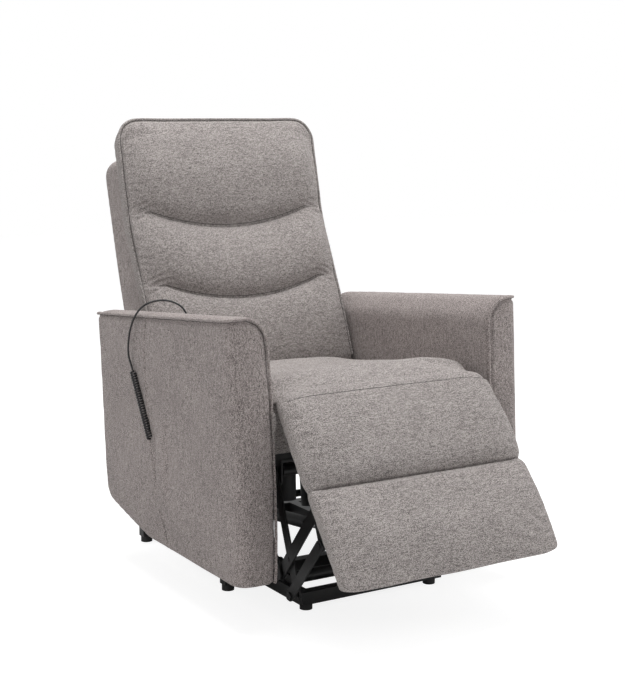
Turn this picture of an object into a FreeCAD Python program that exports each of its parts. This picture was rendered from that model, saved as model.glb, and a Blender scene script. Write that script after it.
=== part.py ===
import FreeCAD, Part
import Sketcher
import math
import os
import re

# Lift recliner chair. The chair faces -Y, +Z is up, and the origin lies on the floor
# below the middle of the seat. Left and right are the sitter's: left is +X.

Vector = FreeCAD.Vector
doc = FreeCAD.newDocument("lift_recliner")
sheet = doc.addObject("Spreadsheet::Sheet", "sizes")
pieces = []
rows = [0]

# Upholstered arms
arm_gap = 16
arm_wide = 88
arm_front_low = -319
arm_front_high = -285
arm_underside = 97
arm_front_top = 646
arm_rear_high = 378
arm_rear_top = 584
arm_rear_low = 346
arm_rear_foot = 146
arm_kick = 112
arm_inner_round = 52
arm_outer_round = 35
arm_heel_round = 34
arm_kick_round = 120
arm_corner_round = 10
welt_radius = 4
welt_corner = 35

# Seat cushion
seat_half = 266
seat_front = -299.5
seat_rear = 232
seat_bottom = 348.3
seat_rear_top = 441
seat_front_top = 502
seat_crown = 34
seat_nose_drop = 26
seat_lip_low = 475
seat_shelf = 18
seat_shelf_drop = 9
seat_side_drop = 20
seat_side_pull = 20
seat_flat_share = 0.78
seat_nose_depth = 62
seat_undercut = 40
seat_front_low = -244

# Seat side panels, on the inner faces of the arms
panel_thick = 10
panel_front = -334
panel_rear = -60
panel_top = 430
panel_low = 316
panel_corner = 42

# Backrest
back_margin = 5.5
back_depth = 50
back_foot_y = 240
back_foot_z = 443
back_lumbar_y = 305
back_lumbar_z = 609
back_neck_y = 388
back_neck_z = 779
back_head_y = 442
back_head_z = 998
back_top_z = 1036
back_crease_z = 447
board_foot_lift = 9
bracket_rise = 110
back_underside = 352
pillow_bow_low = 17
pillow_bow_mid = 24
pillow_bow_head = 20
seam_rise = 38
seam_reach = 225
channel_depth = 5
back_shoulder = 50
back_board = 14
layer_gap = 0.3

# Outer back shell
shell_half = 249
shell_top = 941
shell_clear = 28
shell_rear_top = 601
shell_rear_foot = 446
shell_round = 28

# Footrest pad, in the tilt that the photograph shows
pad_tilt = 38
knee_y = -318
knee_z = 462
pad_margin = 4.5
pad_length = 398
pad_seam = 181
pad_thick = 20
pad_face = 9
pad_lip = 15
pad_lip_thick = 11
pad_bow = 17
pad_tip = 8
pad_full_at = 90
pad_draw = 4
board_thick = 12
board_half = 240
board_start = 156
board_end = 338

# Pressed steel plates, side by side across the chair
plate = 4
plate_gap = 2
link_round = 12
stud = 6
fit = 0.05
stud_proud = 1.2
hanger_near = 154
open_play = 1.6
stay_play = 4
head_round = 9
head_thick = 2.5

# Pivots of the lifting arms
lift_front_y = -204.9
lift_front_z = 60.4
lift_rear_y = -145.1
lift_rear_z = 75.2
hang_front_y = 67.2
hang_front_z = 96.9
hang_rear_y = 306.9
hang_rear_z = 134.5
lift_link_round = 13

# Pivots of the footrest linkage
drive_y = -167.9
drive_z = 293.4
cross_y = -236.1
cross_z = 115.4
lower_y = -263.3
lower_z = 44.4
stay_y = -129.8
stay_z = 241
tail_y = -203.2
tail_z = 73.3
tail_round = 13.5
board_upper_y = -352.7
board_upper_z = 255.9
board_lower_y = -380.9
board_lower_z = 184.6

# Back hinge
hinge_y = 300
hinge_z = 330

# Base frame of rectangular tube
rail_x = 172
rail_wide = 25
rail_low = 14
rail_tall = 28
base_front = -258
base_rear = 400
cross_wide = 25
cross_half = 262
middle_cross = -43
rear_cross = 388
foot_round = 14
front_foot_x = 163
front_foot_y = -240
side_foot_x = 248
bracket_round = 15

# Chassis
tube_round = 12
front_tube_y = -60
front_tube_z = 285
rear_tube_y = 200
rear_tube_z = 200
chassis_top = 328
chassis_front = -190
chassis_rear = 332
rail_height = 20
seat_rail_inner = 188
seat_rail_outer = 222
seat_rail_front = -206
seat_rail_rear = 226
seat_rail_wide = 22
arm_bar_front = -10
arm_bar_rear = 150
arm_bar_wide = 36
spring_wire = 1.8
spring_turn = 15
spring_step = 88

# Linear drives
drive_tube = 15
drive_rod = 8
motor_round = 30
motor_length = 92
gear_half = 27
drive_gap = 0.6
lug = 5
lug_inner = 17
drive_pin = 5
lift_drive_x = 0
lift_body_y = 350
lift_body_z = 64
lift_eye_y = -182.7
lift_eye_z = 121.5
foot_drive_x = 62
foot_body_y = 160
foot_body_z = 200
foot_eye_y = -159.4
foot_eye_z = 244.1
back_drive_x = -62
back_body_y = -22
back_body_z = 262
back_eye_y = 326
back_eye_z = 254.4
lift_slot_down = 5.2
lift_slot_up = 5.4
lift_slot_short = 1.6
lift_slot_long = 1.6
lift_retract = 4
foot_slot_down = 17.8
foot_slot_up = 1.4
foot_slot_short = 1.4
foot_slot_long = 5
foot_retract = 33
back_slot_down = 4.2
back_slot_up = 4
back_slot_short = 1
back_slot_long = 1
back_retract = 55
crank_thick = 8
torque_tube = 14
torque_bore = 8

# Handset, its pocket in the right arm, and its cord
handset_wide = 46
handset_tall = 150
handset_deep = 22
handset_y = 38
boot_half = 5
boot_deep = 10
boot_inset = 4
handset_z = 280
pocket_gap = 0.6
pocket_skin = 3
pocket_bulge = 7
pocket_hem = 24
pocket_low = 180
pocket_high = 470
pocket_rear = 80
pocket_front = 0
button_round = 7
button_proud = 1.6
button_travel = 1
button_pitch = 24
button_spread = 11
cord_round = 2.2
coil_round = 7.6
coil_foot_y = 73
coil_foot_z = 340
coil_turns = 26
box_half = 40
box_wide = 66
box_tall = 38
box_y = 40
box_z = 256

# Sizes that follow from others
FOLLOWS = {"arm_outer": "(seat_half+arm_gap+arm_wide)", "arm_inner": "(seat_half+arm_gap)",
           "back_half": "(seat_half+back_margin)", "pad_half": "(seat_half+pad_margin)",
           "shell_foot": "(hinge_z+torque_tube+shell_clear)"}


def put(name, value):
    """One driving dimension: its cell takes a plain number and the name."""
    rows[0] += 1
    sheet.set("A%d" % rows[0], name)
    sheet.set("B%d" % rows[0], str(value))
    sheet.setAlias("B%d" % rows[0], name)


def spelled(text):
    """A formula with each size that follows from others written out."""
    for name, formula in FOLLOWS.items():
        text = re.sub(r"\b%s\b" % name, formula, str(text))
    return str(text)


def bound(text):
    """A formula in the dimensions' names, as the document's objects read it."""
    return re.sub(r"\b([a-z_][a-z_0-9]*)\b(?!\()", r"sizes.\1", spelled(text))


def val(text):
    """The number that a formula in the dimensions' names gives."""
    return float(sheet.evalExpression(spelled(text)))


for name, value in list(globals().items()):
    if type(value) in (int, float):
        put(name, value)
doc.recompute()


def label(item, name):
    """Names a finished piece and puts it on the list of pieces to write."""
    item.Label = name
    pieces.append(item)
    return item


def box(name, across, along, up):
    """A block between two places on each axis."""
    item = doc.addObject("Part::Box", name)
    item.setExpression("Length", bound("(%s)-(%s)" % (across[1], across[0])))
    item.setExpression("Width", bound("(%s)-(%s)" % (along[1], along[0])))
    item.setExpression("Height", bound("(%s)-(%s)" % (up[1], up[0])))
    item.setExpression("Placement.Base.x", bound(across[0]))
    item.setExpression("Placement.Base.y", bound(along[0]))
    item.setExpression("Placement.Base.z", bound(up[0]))
    return item


def cross_rod(name, across, place, radius):
    """A round bar across the chair, about a line through a place in the side view."""
    item = doc.addObject("Part::Cylinder", name)
    item.Placement = FreeCAD.Placement(Vector(0, 0, 0), FreeCAD.Rotation(Vector(0, 1, 0), 90))
    item.setExpression("Radius", bound(radius))
    item.setExpression("Height", bound("(%s)-(%s)" % (across[1], across[0])))
    item.setExpression("Placement.Base.x", bound(across[0]))
    item.setExpression("Placement.Base.y", bound(place[0]))
    item.setExpression("Placement.Base.z", bound(place[1]))
    return item


def upright_rod(name, place, up, radius):
    """A round bar standing on the floor plan at a place."""
    item = doc.addObject("Part::Cylinder", name)
    item.setExpression("Radius", bound(radius))
    item.setExpression("Height", bound("(%s)-(%s)" % (up[1], up[0])))
    item.setExpression("Placement.Base.x", bound(place[0]))
    item.setExpression("Placement.Base.y", bound(place[1]))
    item.setExpression("Placement.Base.z", bound(up[0]))
    return item


def fuse(name, parts):
    item = doc.addObject("Part::MultiFuse", name)
    item.Shapes = parts
    return item


def cut(name, base, tool):
    item = doc.addObject("Part::Cut", name)
    item.Base = base
    item.Tool = tool
    return item


def group(name, parts):
    """Alike solids that share one node."""
    item = doc.addObject("Part::Compound", name)
    item.Links = parts
    return item


def side_span(side, near, far):
    """A stretch across the chair on the left (1) or on the right (-1)."""
    if side > 0:
        return (near, far)
    return ("-(%s)" % far, "-(%s)" % near)


def side_sketch(body, name, offset):
    """A sketch in the side view: its own x runs along Y and its own y up Z."""
    plane = [item for item in body.Origin.OriginFeatures if item.Role == "YZ_Plane"][0]
    sketch = body.newObject("Sketcher::SketchObject", name)
    sketch.AttachmentSupport = [(plane, "")]
    sketch.MapMode = "FlatFace"
    sketch.setExpression("AttachmentOffset.Base.z", bound(offset))
    return sketch


def hold(sketch, geometry, point, u, v):
    """Ties a sketch point to two formulas."""
    row = sketch.addConstraint(Sketcher.Constraint("DistanceX", -1, 1, geometry, point, val(u)))
    sketch.setExpression("Constraints[%d]" % row, bound(u))
    row = sketch.addConstraint(Sketcher.Constraint("DistanceY", -1, 1, geometry, point, val(v)))
    sketch.setExpression("Constraints[%d]" % row, bound(v))


def round_hole(sketch, place, radius):
    centre = Vector(val(place[0]), val(place[1]), 0)
    circle = sketch.addGeometry(Part.Circle(centre, Vector(0, 0, 1), val(radius)), False)
    hold(sketch, circle, 3, place[0], place[1])
    row = sketch.addConstraint(Sketcher.Constraint("Radius", circle, val(radius)))
    sketch.setExpression("Constraints[%d]" % row, bound(radius))


def outline(sketch, corners):
    """A closed outline through corners (u, v), each sharp."""
    places = [Vector(val(u), val(v), 0) for u, v in corners]
    count = len(places)
    lines = []
    for n in range(count):
        edge = Part.LineSegment(places[n], places[(n + 1) % count])
        lines.append(sketch.addGeometry(edge, False))
    for n in range(count):
        follower = lines[(n + 1) % count]
        sketch.addConstraint(Sketcher.Constraint("Coincident", lines[n], 2, follower, 1))
        hold(sketch, lines[n], 1, corners[n][0], corners[n][1])


def pill(sketch, first, second, radius):
    """A bar with round ends about two places."""
    one = Vector(val(first[0]), val(first[1]), 0)
    two = Vector(val(second[0]), val(second[1]), 0)
    reach = val(radius)
    run = (two - one).normalize()
    aside = Vector(-run.y, run.x, 0) * reach
    turn = math.atan2(aside.y, aside.x)
    first_end = Part.ArcOfCircle(Part.Circle(one, Vector(0, 0, 1), reach), turn, turn + math.pi)
    second_end = Part.ArcOfCircle(Part.Circle(two, Vector(0, 0, 1), reach), turn - math.pi, turn)
    low = sketch.addGeometry(first_end, False)
    lower = sketch.addGeometry(Part.LineSegment(one - aside, two - aside), False)
    high = sketch.addGeometry(second_end, False)
    upper = sketch.addGeometry(Part.LineSegment(two + aside, one + aside), False)
    for before, after in ((low, lower), (lower, high), (high, upper), (upper, low)):
        sketch.addConstraint(Sketcher.Constraint("Tangent", before, 2, after, 1))
    hold(sketch, low, 3, first[0], first[1])
    hold(sketch, high, 3, second[0], second[1])
    row = sketch.addConstraint(Sketcher.Constraint("Radius", low, reach))
    sketch.setExpression("Constraints[%d]" % row, bound(radius))


def pad(body, sketch, span):
    """Raises a side-view sketch across a stretch that starts at its plane."""
    feature = body.newObject("PartDesign::Pad", sketch.Name + "_pad")
    feature.Profile = sketch
    feature.setExpression("Length", bound("(%s)-(%s)" % (span[1], span[0])))
    return feature


def stud_pad(body, name, side, near, far, place, radius):
    span = side_span(side, near, far)
    sketch = side_sketch(body, name, span[0])
    round_hole(sketch, place, radius)
    return pad(body, sketch, span)


def link(name, side, near, ends, holes, studs, radius="link_round"):
    """A pressed bar with round ends, its holes, and the studs riveted to it.

    holes are (place, radius) and studs are (near, far, place, radius).
    """
    body = doc.addObject("PartDesign::Body", name)
    span = side_span(side, near, near + "+plate")
    sketch = side_sketch(body, name + "_bar", span[0])
    pill(sketch, ends[0], ends[1], radius)
    for place, bore in holes:
        round_hole(sketch, place, bore)
    pad(body, sketch, span)
    for count, (low, high, place, reach) in enumerate(studs):
        stud_pad(body, "%s_stud_%d" % (name, count), side, low, high, place, reach)
    return label(body, name)


def chosen_edges(shape, test):
    """The names of the edges whose middle passes a test."""
    names = []
    for number, edge in enumerate(shape.Edges):
        middle = edge.valueAt((edge.FirstParameter + edge.LastParameter) / 2)
        if test(edge, middle):
            names.append("Edge%d" % (number + 1))
    return names


def fillet(body, base, test, radius, name):
    doc.recompute()
    feature = body.newObject("PartDesign::Fillet", name)
    feature.Base = (base, chosen_edges(base.Shape, test))
    feature.setExpression("Radius", bound(radius))
    doc.recompute()
    return feature


def bowed_wire(across, stops):
    """A closed outline in the plane at x = across. Each stop is (y, z, bow): the bow is how far
    the arc to the next stop swells to the left of its direction, and none makes a line."""
    edges = []
    for number, (y, z, bow) in enumerate(stops):
        after = stops[(number + 1) % len(stops)]
        start = Vector(across, y, z)
        end = Vector(across, after[0], after[1])
        if bow is None:
            edges.append(Part.LineSegment(start, end).toShape())
            continue
        run = end - start
        aside = Vector(0, -run.z, run.y).normalize()
        middle = (start + end) * 0.5 + aside * bow
        edges.append(Part.Arc(start, middle, end).toShape())
    return Part.Wire(edges)


def soft_loft(name, sections):
    """A closed soft solid through its outlines from one side to the other."""
    item = doc.addObject("Part::Feature", name)
    item.Shape = Part.makeLoft(sections, True, False)
    return label(item, name)


# Route of the cord's free stretch, from the control box to the top of the curly part
CORD_ROUTE = [(-128, 80, 262), (-130, 108, 263), (-152, 132, 266), (-186, 136, 268), (-222, 128, 276),
              (-250, 110, 292), (-268, 94, 316), (-274, 84, 348), (-274, 77, 388), (-274, 72, 432),
              (-275, 68, 480), (-275, 66, 528), (-276, 70, 574), (-278, 78, 604), (-286, 88, 626),
              (-304, 100, 638), (-326, 111, 642), (-349, 120, 638), (-368, 129, 627), (-381, 140, 604),
              (-386, 154, 573), (-386, 165, 540), (-383.5, 171, 513), (-380, 167, 496), (-379.5, 160, 484)]

# Places of the plates across the chair, from the middle outward
HANGER = "hanger_near"
LIFT_FRONT = "hanger_near+2*(plate+plate_gap)-4"
BASE_PLATE = "rail_x-plate"
LIFT_REAR = "rail_x+plate_gap"
SIDE_PLATE = "rail_x+18"
DRIVE = "rail_x+18+plate+plate_gap"
CROSS = "rail_x+18+2*(plate+plate_gap)"
STAY = "rail_x+18+3*(plate+plate_gap)"
OUTER = "rail_x+18+4*(plate+plate_gap)"

LIFT_FRONT_PIVOT = ("lift_front_y", "lift_front_z")
LIFT_REAR_PIVOT = ("lift_rear_y", "lift_rear_z")
HANG_FRONT_PIVOT = ("hang_front_y", "hang_front_z")
HANG_REAR_PIVOT = ("hang_rear_y", "hang_rear_z")
DRIVE_PIVOT = ("drive_y", "drive_z")
CROSS_PIVOT = ("cross_y", "cross_z")
LOWER_PIVOT = ("lower_y", "lower_z")
STAY_PIVOT = ("stay_y", "stay_z")
TAIL_PIVOT = ("tail_y", "tail_z")
BOARD_UPPER = ("board_upper_y", "board_upper_z")
BOARD_LOWER = ("board_lower_y", "board_lower_z")
HINGE_PIVOT = ("hinge_y", "hinge_z")
BORE = "stud+fit"


# Base frame: welded rectangular tube with the brackets and studs of the lifting arms
def base_frame():
    rail_up = ("rail_low", "rail_low+rail_tall")
    parts = []
    for side, hand in ((1, "left"), (-1, "right")):
        span = side_span(side, "rail_x-rail_wide/2", "rail_x+rail_wide/2")
        parts.append(box("base_rail_" + hand, span, ("base_front", "base_rear"), rail_up))
        span = side_span(side, BASE_PLATE, "rail_x")
        parts.append(box("base_web_" + hand, span, ("lift_front_y-bracket_round", "lift_rear_y+bracket_round"),
                         ("rail_low+rail_tall", "lift_front_z")))
        for place, at in ((LIFT_FRONT_PIVOT, "front"), (LIFT_REAR_PIVOT, "rear")):
            parts.append(cross_rod("base_ear_%s_%s" % (at, hand), span, place, "bracket_round"))
        near = side_span(side, LIFT_FRONT + "-stud_proud", BASE_PLATE)
        parts.append(cross_rod("base_front_stud_" + hand, near, LIFT_FRONT_PIVOT, "stud"))
        near = side_span(side, "rail_x", LIFT_REAR + "+plate+stud_proud")
        parts.append(cross_rod("base_rear_stud_" + hand, near, LIFT_REAR_PIVOT, "stud"))
    inner = ("-(rail_x-rail_wide/2)", "rail_x-rail_wide/2")
    parts.append(box("base_front_cross", inner, ("base_front", "base_front+cross_wide"), rail_up))
    for at in ("middle_cross", "rear_cross"):
        along = (at + "-cross_wide/2", at + "+cross_wide/2")
        parts.append(box("base_" + at, ("-cross_half", "cross_half"), along, rail_up))
    for side in (1, -1):
        near = side_span(side, "lug_inner", "lug_inner+lug")
        parts.append(box("lift_lug_%d" % (side > 0), near, ("lift_body_y-9", "rear_cross-cross_wide/2"),
                         ("rail_low+6", "lift_body_z+9")))
    parts.append(cross_rod("lift_body_pin", ("-lug_inner-lug", "lug_inner+lug"),
                           ("lift_body_y", "lift_body_z"), "drive_pin"))
    return label(fuse("base_frame", parts), "base_frame")


def base_feet():
    feet = []
    for side in (1, -1):
        for at, x, y in (("front", "front_foot_x", "front_foot_y"),
                         ("middle", "side_foot_x", "middle_cross"),
                         ("rear", "side_foot_x", "rear_cross")):
            across = x if side > 0 else "-" + x
            foot = upright_rod("foot_%s_%d" % (at, side > 0), (across, y), ("0", "rail_low"), "foot_round")
            feet.append(foot)
    return label(group("base_feet", feet), "base_feet")


# Lifting arms, with the tubes that tie each pair together
def lifting_arms():
    for side, hand in ((1, "left"), (-1, "right")):
        link("lift_arm_front_" + hand, side, LIFT_FRONT, (LIFT_FRONT_PIVOT, HANG_FRONT_PIVOT),
             [(LIFT_FRONT_PIVOT, BORE), (HANG_FRONT_PIVOT, BORE)], [], "lift_link_round")
        link("lift_arm_rear_" + hand, side, LIFT_REAR, (LIFT_REAR_PIVOT, HANG_REAR_PIVOT),
             [(LIFT_REAR_PIVOT, BORE), (HANG_REAR_PIVOT, "stud+open_play")], [], "lift_link_round")
    inner = ("-(%s)" % LIFT_FRONT, LIFT_FRONT)
    tube = cross_rod("lift_tube_outside", inner, LIFT_FRONT_PIVOT, "torque_tube")
    ears = []
    for side in (1, -1):
        span = side_span(side, "lug_inner-5", "lug_inner-5+lug")
        ears.append(crank_plate("lift_crank_%d" % (side > 0), span, LIFT_FRONT_PIVOT,
                                ("lift_eye_y", "lift_eye_z")))
    pin = cross_rod("lift_crank_pin", ("-lug_inner", "lug_inner"), ("lift_eye_y", "lift_eye_z"), "drive_pin")
    whole = fuse("lift_tube_whole", [tube] + ears + [pin])
    bore = cross_rod("lift_tube_bore", inner, LIFT_FRONT_PIVOT, "torque_bore")
    label(cut("lift_torque_tube", whole, bore), "lift_torque_tube")
    tie_y = "lift_rear_y+0.76*(hang_rear_y-lift_rear_y)"
    tie_z = "lift_rear_z+0.76*(hang_rear_z-lift_rear_z)"
    label(cross_rod("lift_tie_tube", ("-(%s)" % LIFT_REAR, LIFT_REAR), (tie_y, tie_z), "tube_round-3"),
          "lift_tie_tube")


def crank_plate(name, span, centre, eye):
    """A short lever between a tube and a drive's eye."""
    body = doc.addObject("PartDesign::Body", name)
    sketch = side_sketch(body, name + "_bar", span[0])
    pill(sketch, centre, eye, "link_round-1")
    pad(body, sketch, span)
    return body


# Chassis: side plates, cross tubes and hangers carry the seat, arms, footrest and back
def side_plates():
    corners = [("chassis_front", "chassis_top"), ("chassis_front", "drive_z-22"),
               ("stay_y-14", "stay_z-20"), ("stay_y+26", "stay_z-20"),
               ("rear_tube_y-34", "rear_tube_z-22"), ("hang_rear_y-18", "hang_rear_z-18"),
               ("hang_rear_y+18", "hang_rear_z-18"), ("chassis_rear", "hang_rear_z+30"),
               ("chassis_rear", "chassis_top+20"), ("hinge_y-22", "chassis_top+20"),
               ("hinge_y-32", "chassis_top")]
    for side, hand in ((1, "left"), (-1, "right")):
        name = "side_plate_" + hand
        body = doc.addObject("PartDesign::Body", name)
        span = side_span(side, SIDE_PLATE, SIDE_PLATE + "+plate")
        sketch = side_sketch(body, name + "_outline", span[0])
        outline(sketch, corners)
        round_hole(sketch, DRIVE_PIVOT, BORE)
        pad(body, sketch, span)
        window = side_sketch(body, name + "_windows", span[0])
        outline(window, [("front_tube_y+40", "front_tube_z+16"), ("front_tube_y+40", "front_tube_z-22"),
                         ("rear_tube_y-52", "rear_tube_z+30"), ("rear_tube_y-22", "front_tube_z+16")])
        outline(window, [("rear_tube_y+26", "front_tube_z+16"), ("rear_tube_y+26", "rear_tube_z+4"),
                         ("hinge_y-22", "rear_tube_z-10"), ("hinge_y-22", "hinge_z-40"),
                         ("hinge_y-46", "front_tube_z+16")])
        pocket = body.newObject("PartDesign::Pocket", name + "_cut")
        pocket.Profile = window
        pocket.setExpression("Length", bound("plate*3"))
        pocket.Midplane = True
        stud_pad(body, name + "_stay_stud", side, SIDE_PLATE + "+plate", STAY + "+plate+stud_proud",
                 STAY_PIVOT, "stud")
        inward = [(HANG_REAR_PIVOT, LIFT_REAR + "-stud_proud"), (HINGE_PIVOT, SIDE_PLATE + "-plate-2*plate_gap")]
        for count, (place, near) in enumerate(inward):
            stud_pad(body, "%s_in_%d" % (name, count), side, near, SIDE_PLATE, place, "stud")
        label(body, name)


def chassis_tubes():
    inner = ("-(%s)" % SIDE_PLATE, SIDE_PLATE)
    front = cross_rod("front_tube", inner, ("front_tube_y", "front_tube_z"), "tube_round")
    rear = cross_rod("rear_tube", inner, ("rear_tube_y", "rear_tube_z"), "tube_round")
    foot_parts = drive_lugs("foot_lug", "foot_drive_x", ("foot_body_y", "foot_body_z"),
                            ("rear_tube_y", "rear_tube_z"))
    back_parts = drive_lugs("back_lug", "back_drive_x", ("back_body_y", "back_body_z"),
                            ("front_tube_y", "front_tube_z"))
    front_whole = fuse("front_cross_tube", [front] + back_parts)
    rear_whole = fuse("rear_cross_tube", [rear] + foot_parts)
    label(front_whole, "front_cross_tube")
    label(rear_whole, "rear_cross_tube")


def drive_lugs(name, middle, pin, tube):
    """Two ears and a pin that carry a drive's gear case off a cross tube."""
    parts = []
    for side in (1, -1):
        if side > 0:
            span = (middle + "+lug_inner", middle + "+lug_inner+lug")
        else:
            span = (middle + "-lug_inner-lug", middle + "-lug_inner")
        parts.append(crank_plate("%s_%d" % (name, side > 0), span, pin, tube))
    parts.append(cross_rod(name + "_pin", (middle + "-lug_inner-lug", middle + "+lug_inner+lug"), pin, "drive_pin"))
    return parts


def hangers():
    """Plates that hang from the cross tubes to the front lifting arms."""
    for side, hand in ((1, "left"), (-1, "right")):
        name = "lift_hanger_" + hand
        body = doc.addObject("PartDesign::Body", name)
        span = side_span(side, HANGER, HANGER + "+plate")
        sketch = side_sketch(body, name + "_outline", span[0])
        outline(sketch, [("front_tube_y-18", "front_tube_z+14"), ("front_tube_y-18", "front_tube_z-16"),
                         ("hang_front_y-15", "hang_front_z-14"), ("hang_front_y+15", "hang_front_z-14"),
                         ("rear_tube_y+18", "rear_tube_z-14"), ("rear_tube_y+18", "rear_tube_z+16"),
                         ("front_tube_y+30", "front_tube_z+14")])
        round_hole(sketch, ("front_tube_y", "front_tube_z"), "tube_round+fit")
        round_hole(sketch, ("rear_tube_y", "rear_tube_z"), "tube_round+fit")
        round_hole(sketch, ("(front_tube_y+rear_tube_y)/2", "(front_tube_z+rear_tube_z)/2-16"), "2*tube_round")
        pad(body, sketch, span)
        stud_pad(body, name + "_stud", side, HANGER + "+plate", LIFT_FRONT + "+plate+stud_proud",
                 HANG_FRONT_PIVOT, "stud")
        label(body, name)


# Seat frame and its sinuous springs
def seat_frame():
    up = ("chassis_top", "chassis_top+rail_height")
    parts = []
    for side in (1, -1):
        span = side_span(side, "seat_rail_inner", "seat_rail_outer")
        parts.append(box("seat_rail_%d" % (side > 0), span, ("seat_rail_front", "hinge_y-32.5"), up))
        for place in ("arm_bar_front", "arm_bar_rear"):
            span = side_span(side, "seat_rail_outer", "arm_inner")
            along = (place + "-arm_bar_wide/2", place + "+arm_bar_wide/2")
            parts.append(box("%s_%d" % (place, side > 0), span, along, up))
    across = ("-seat_rail_inner", "seat_rail_inner")
    parts.append(box("seat_front_rail", across, ("seat_rail_front", "seat_rail_front+seat_rail_wide"), up))
    parts.append(box("seat_rear_rail", across, ("seat_rail_rear-seat_rail_wide", "seat_rail_rear"), up))
    return label(fuse("seat_frame", parts), "seat_frame")


def seat_springs():
    """Flat zigzag springs from the front rail to the rear one."""
    start = val("seat_rail_front+seat_rail_wide")
    end = val("seat_rail_rear-seat_rail_wide")
    height = val("chassis_top+rail_height-spring_wire")
    wire = val("spring_wire")
    turn = val("spring_turn")
    count = 2 * int((end - start) / (4 * turn)) + 1
    pitch = (end - start) / (count + 1)
    swing = 2 * pitch
    shapes = []
    for row in (-1.5, -0.5, 0.5, 1.5):
        middle = row * val("spring_step")
        places = [Vector(middle, start, height), Vector(middle, start + pitch / 2, height)]
        edges = [Part.LineSegment(places[0], places[1]).toShape()]
        place = places[1]
        hand = 1
        for turn_number in range(count):
            far = place + Vector(0, pitch, 0)
            crest = (place + far) * 0.5 + Vector(hand * swing / 2, 0, 0)
            edges.append(Part.Arc(place, crest, far).toShape())
            place = far
            hand = -hand
        last = Vector(middle, end, height)
        edges.append(Part.LineSegment(place, last).toShape())
        ring = Part.Wire([Part.Circle(places[0], Vector(0, 1, 0), wire).toShape()])
        shapes.append(Part.Wire(edges).makePipeShell([ring], True, False, 2))
    item = doc.addObject("Part::Feature", "seat_springs")
    item.Shape = Part.makeCompound(shapes)
    return label(item, "seat_springs")


def seat_cushion():
    """Crowned cushion with rounded front corners. Its nose is a lip that meets the footrest,
    cut back below to leave room for the footrest's own lip as that swings."""
    half = val("seat_half")
    sections = []
    for share in (-1, -0.98, -0.93, -0.86, -0.5, 0, 0.5, 0.86, 0.93, 0.98, 1):
        edge = max(0, abs(share) - val("seat_flat_share")) / (1 - val("seat_flat_share"))
        turn = 1 - math.sqrt(max(0, 1 - edge ** 2))
        crown = val("seat_crown") * (1 - share ** 2)
        top = val("seat_front_top") + crown * 0.5 - val("seat_side_drop") * turn
        rear_top = val("seat_rear_top") + crown * 0.4 - val("seat_side_drop") * turn * 0.6
        pull = val("seat_side_pull") * turn
        front = val("seat_front") + pull
        lip = val("seat_lip_low") - pull * 0.5
        shelf = max(front + 3, val("seat_front+seat_shelf"))
        sections.append(bowed_wire(share * half, [
            (val("seat_rear"), rear_top, 5 + crown * 0.3),
            (front + val("seat_nose_depth"), top, 9),
            (front, max(top - val("seat_nose_drop"), lip + 2), None),
            (front + 1, lip, None),
            (shelf, min(lip - 1, val("seat_lip_low-seat_shelf_drop")), None),
            (val("seat_front+seat_undercut"), val("seat_lip_low-seat_undercut"), None),
            (val("seat_front_low"), val("seat_bottom"), None),
            (val("seat_rear"), val("seat_bottom"), None)]))
    return soft_loft("seat_cushion", sections)


# Arms and their welt piping
ARM_OUTLINE = [("arm_front_low", "arm_underside"), ("arm_kick", "arm_underside"),
               ("arm_rear_low-20", "arm_rear_foot-4"), ("arm_rear_low", "arm_rear_foot+20"),
               ("arm_rear_high", "arm_rear_top"), ("arm_front_high", "arm_front_top")]


def arm_body(hand, side):
    name = "arm_%s_form" % hand
    body = doc.addObject("PartDesign::Body", name)
    span = side_span(side, "arm_inner", "arm_outer")
    sketch = side_sketch(body, name + "_outline", span[0])
    outline(sketch, ARM_OUTLINE)
    base = pad(body, sketch, span)
    inner = side * val("arm_inner")
    outer = side * val("arm_outer")
    top = val("(arm_front_top+arm_rear_top)/2")
    low = val("arm_underside")
    front = val("(arm_front_low+arm_front_high)/2")
    long_edge = (top - low) / 2

    def heel(edge, middle):
        along = abs(edge.tangentAt(edge.FirstParameter).x) > 0.9
        near_heel = middle.y > val("arm_rear_low-30") and middle.z < val("arm_rear_foot+30")
        return along and near_heel

    def inner_top(edge, middle):
        return abs(middle.x - inner) < 1 and abs(middle.z - top) < 20 and edge.Length > long_edge

    def outer_front(edge, middle):
        return abs(middle.x - outer) < 1 and abs(middle.y - front) < 20 and edge.Length > long_edge

    rounded = fillet(body, base, heel, "arm_heel_round", name + "_heel")
    rounded = fillet(body, rounded, inner_top, "arm_inner_round", name + "_shoulder")
    fillet(body, rounded, outer_front, "arm_outer_round", name + "_front")
    return body


def front_y(height):
    """Where the leaning front face of an arm stands at a height."""
    rise = val("arm_front_top-arm_underside")
    lean = val("arm_front_high-arm_front_low")
    return val("arm_front_low") + (height - val("arm_underside")) / rise * lean


def top_z(along):
    """How high the sloping top of an arm is at a place along it."""
    run = val("arm_rear_high-arm_front_high")
    fall = val("arm_rear_top-arm_front_top")
    return val("arm_front_top") + (along - val("arm_front_high")) / run * fall


def corner_arc(enter, corner, leave):
    """The arc that touches two equal runs, from enter to corner and from corner to leave."""
    reach = (corner - enter).Length
    half_turn = (corner - enter).getAngle(leave - corner) / 2
    bend = reach / math.tan(half_turn)
    inward = ((enter + leave) * 0.5 - corner).normalize()
    return Part.Arc(enter, corner + inward * (bend / math.cos(half_turn) - bend), leave).toShape()


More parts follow.
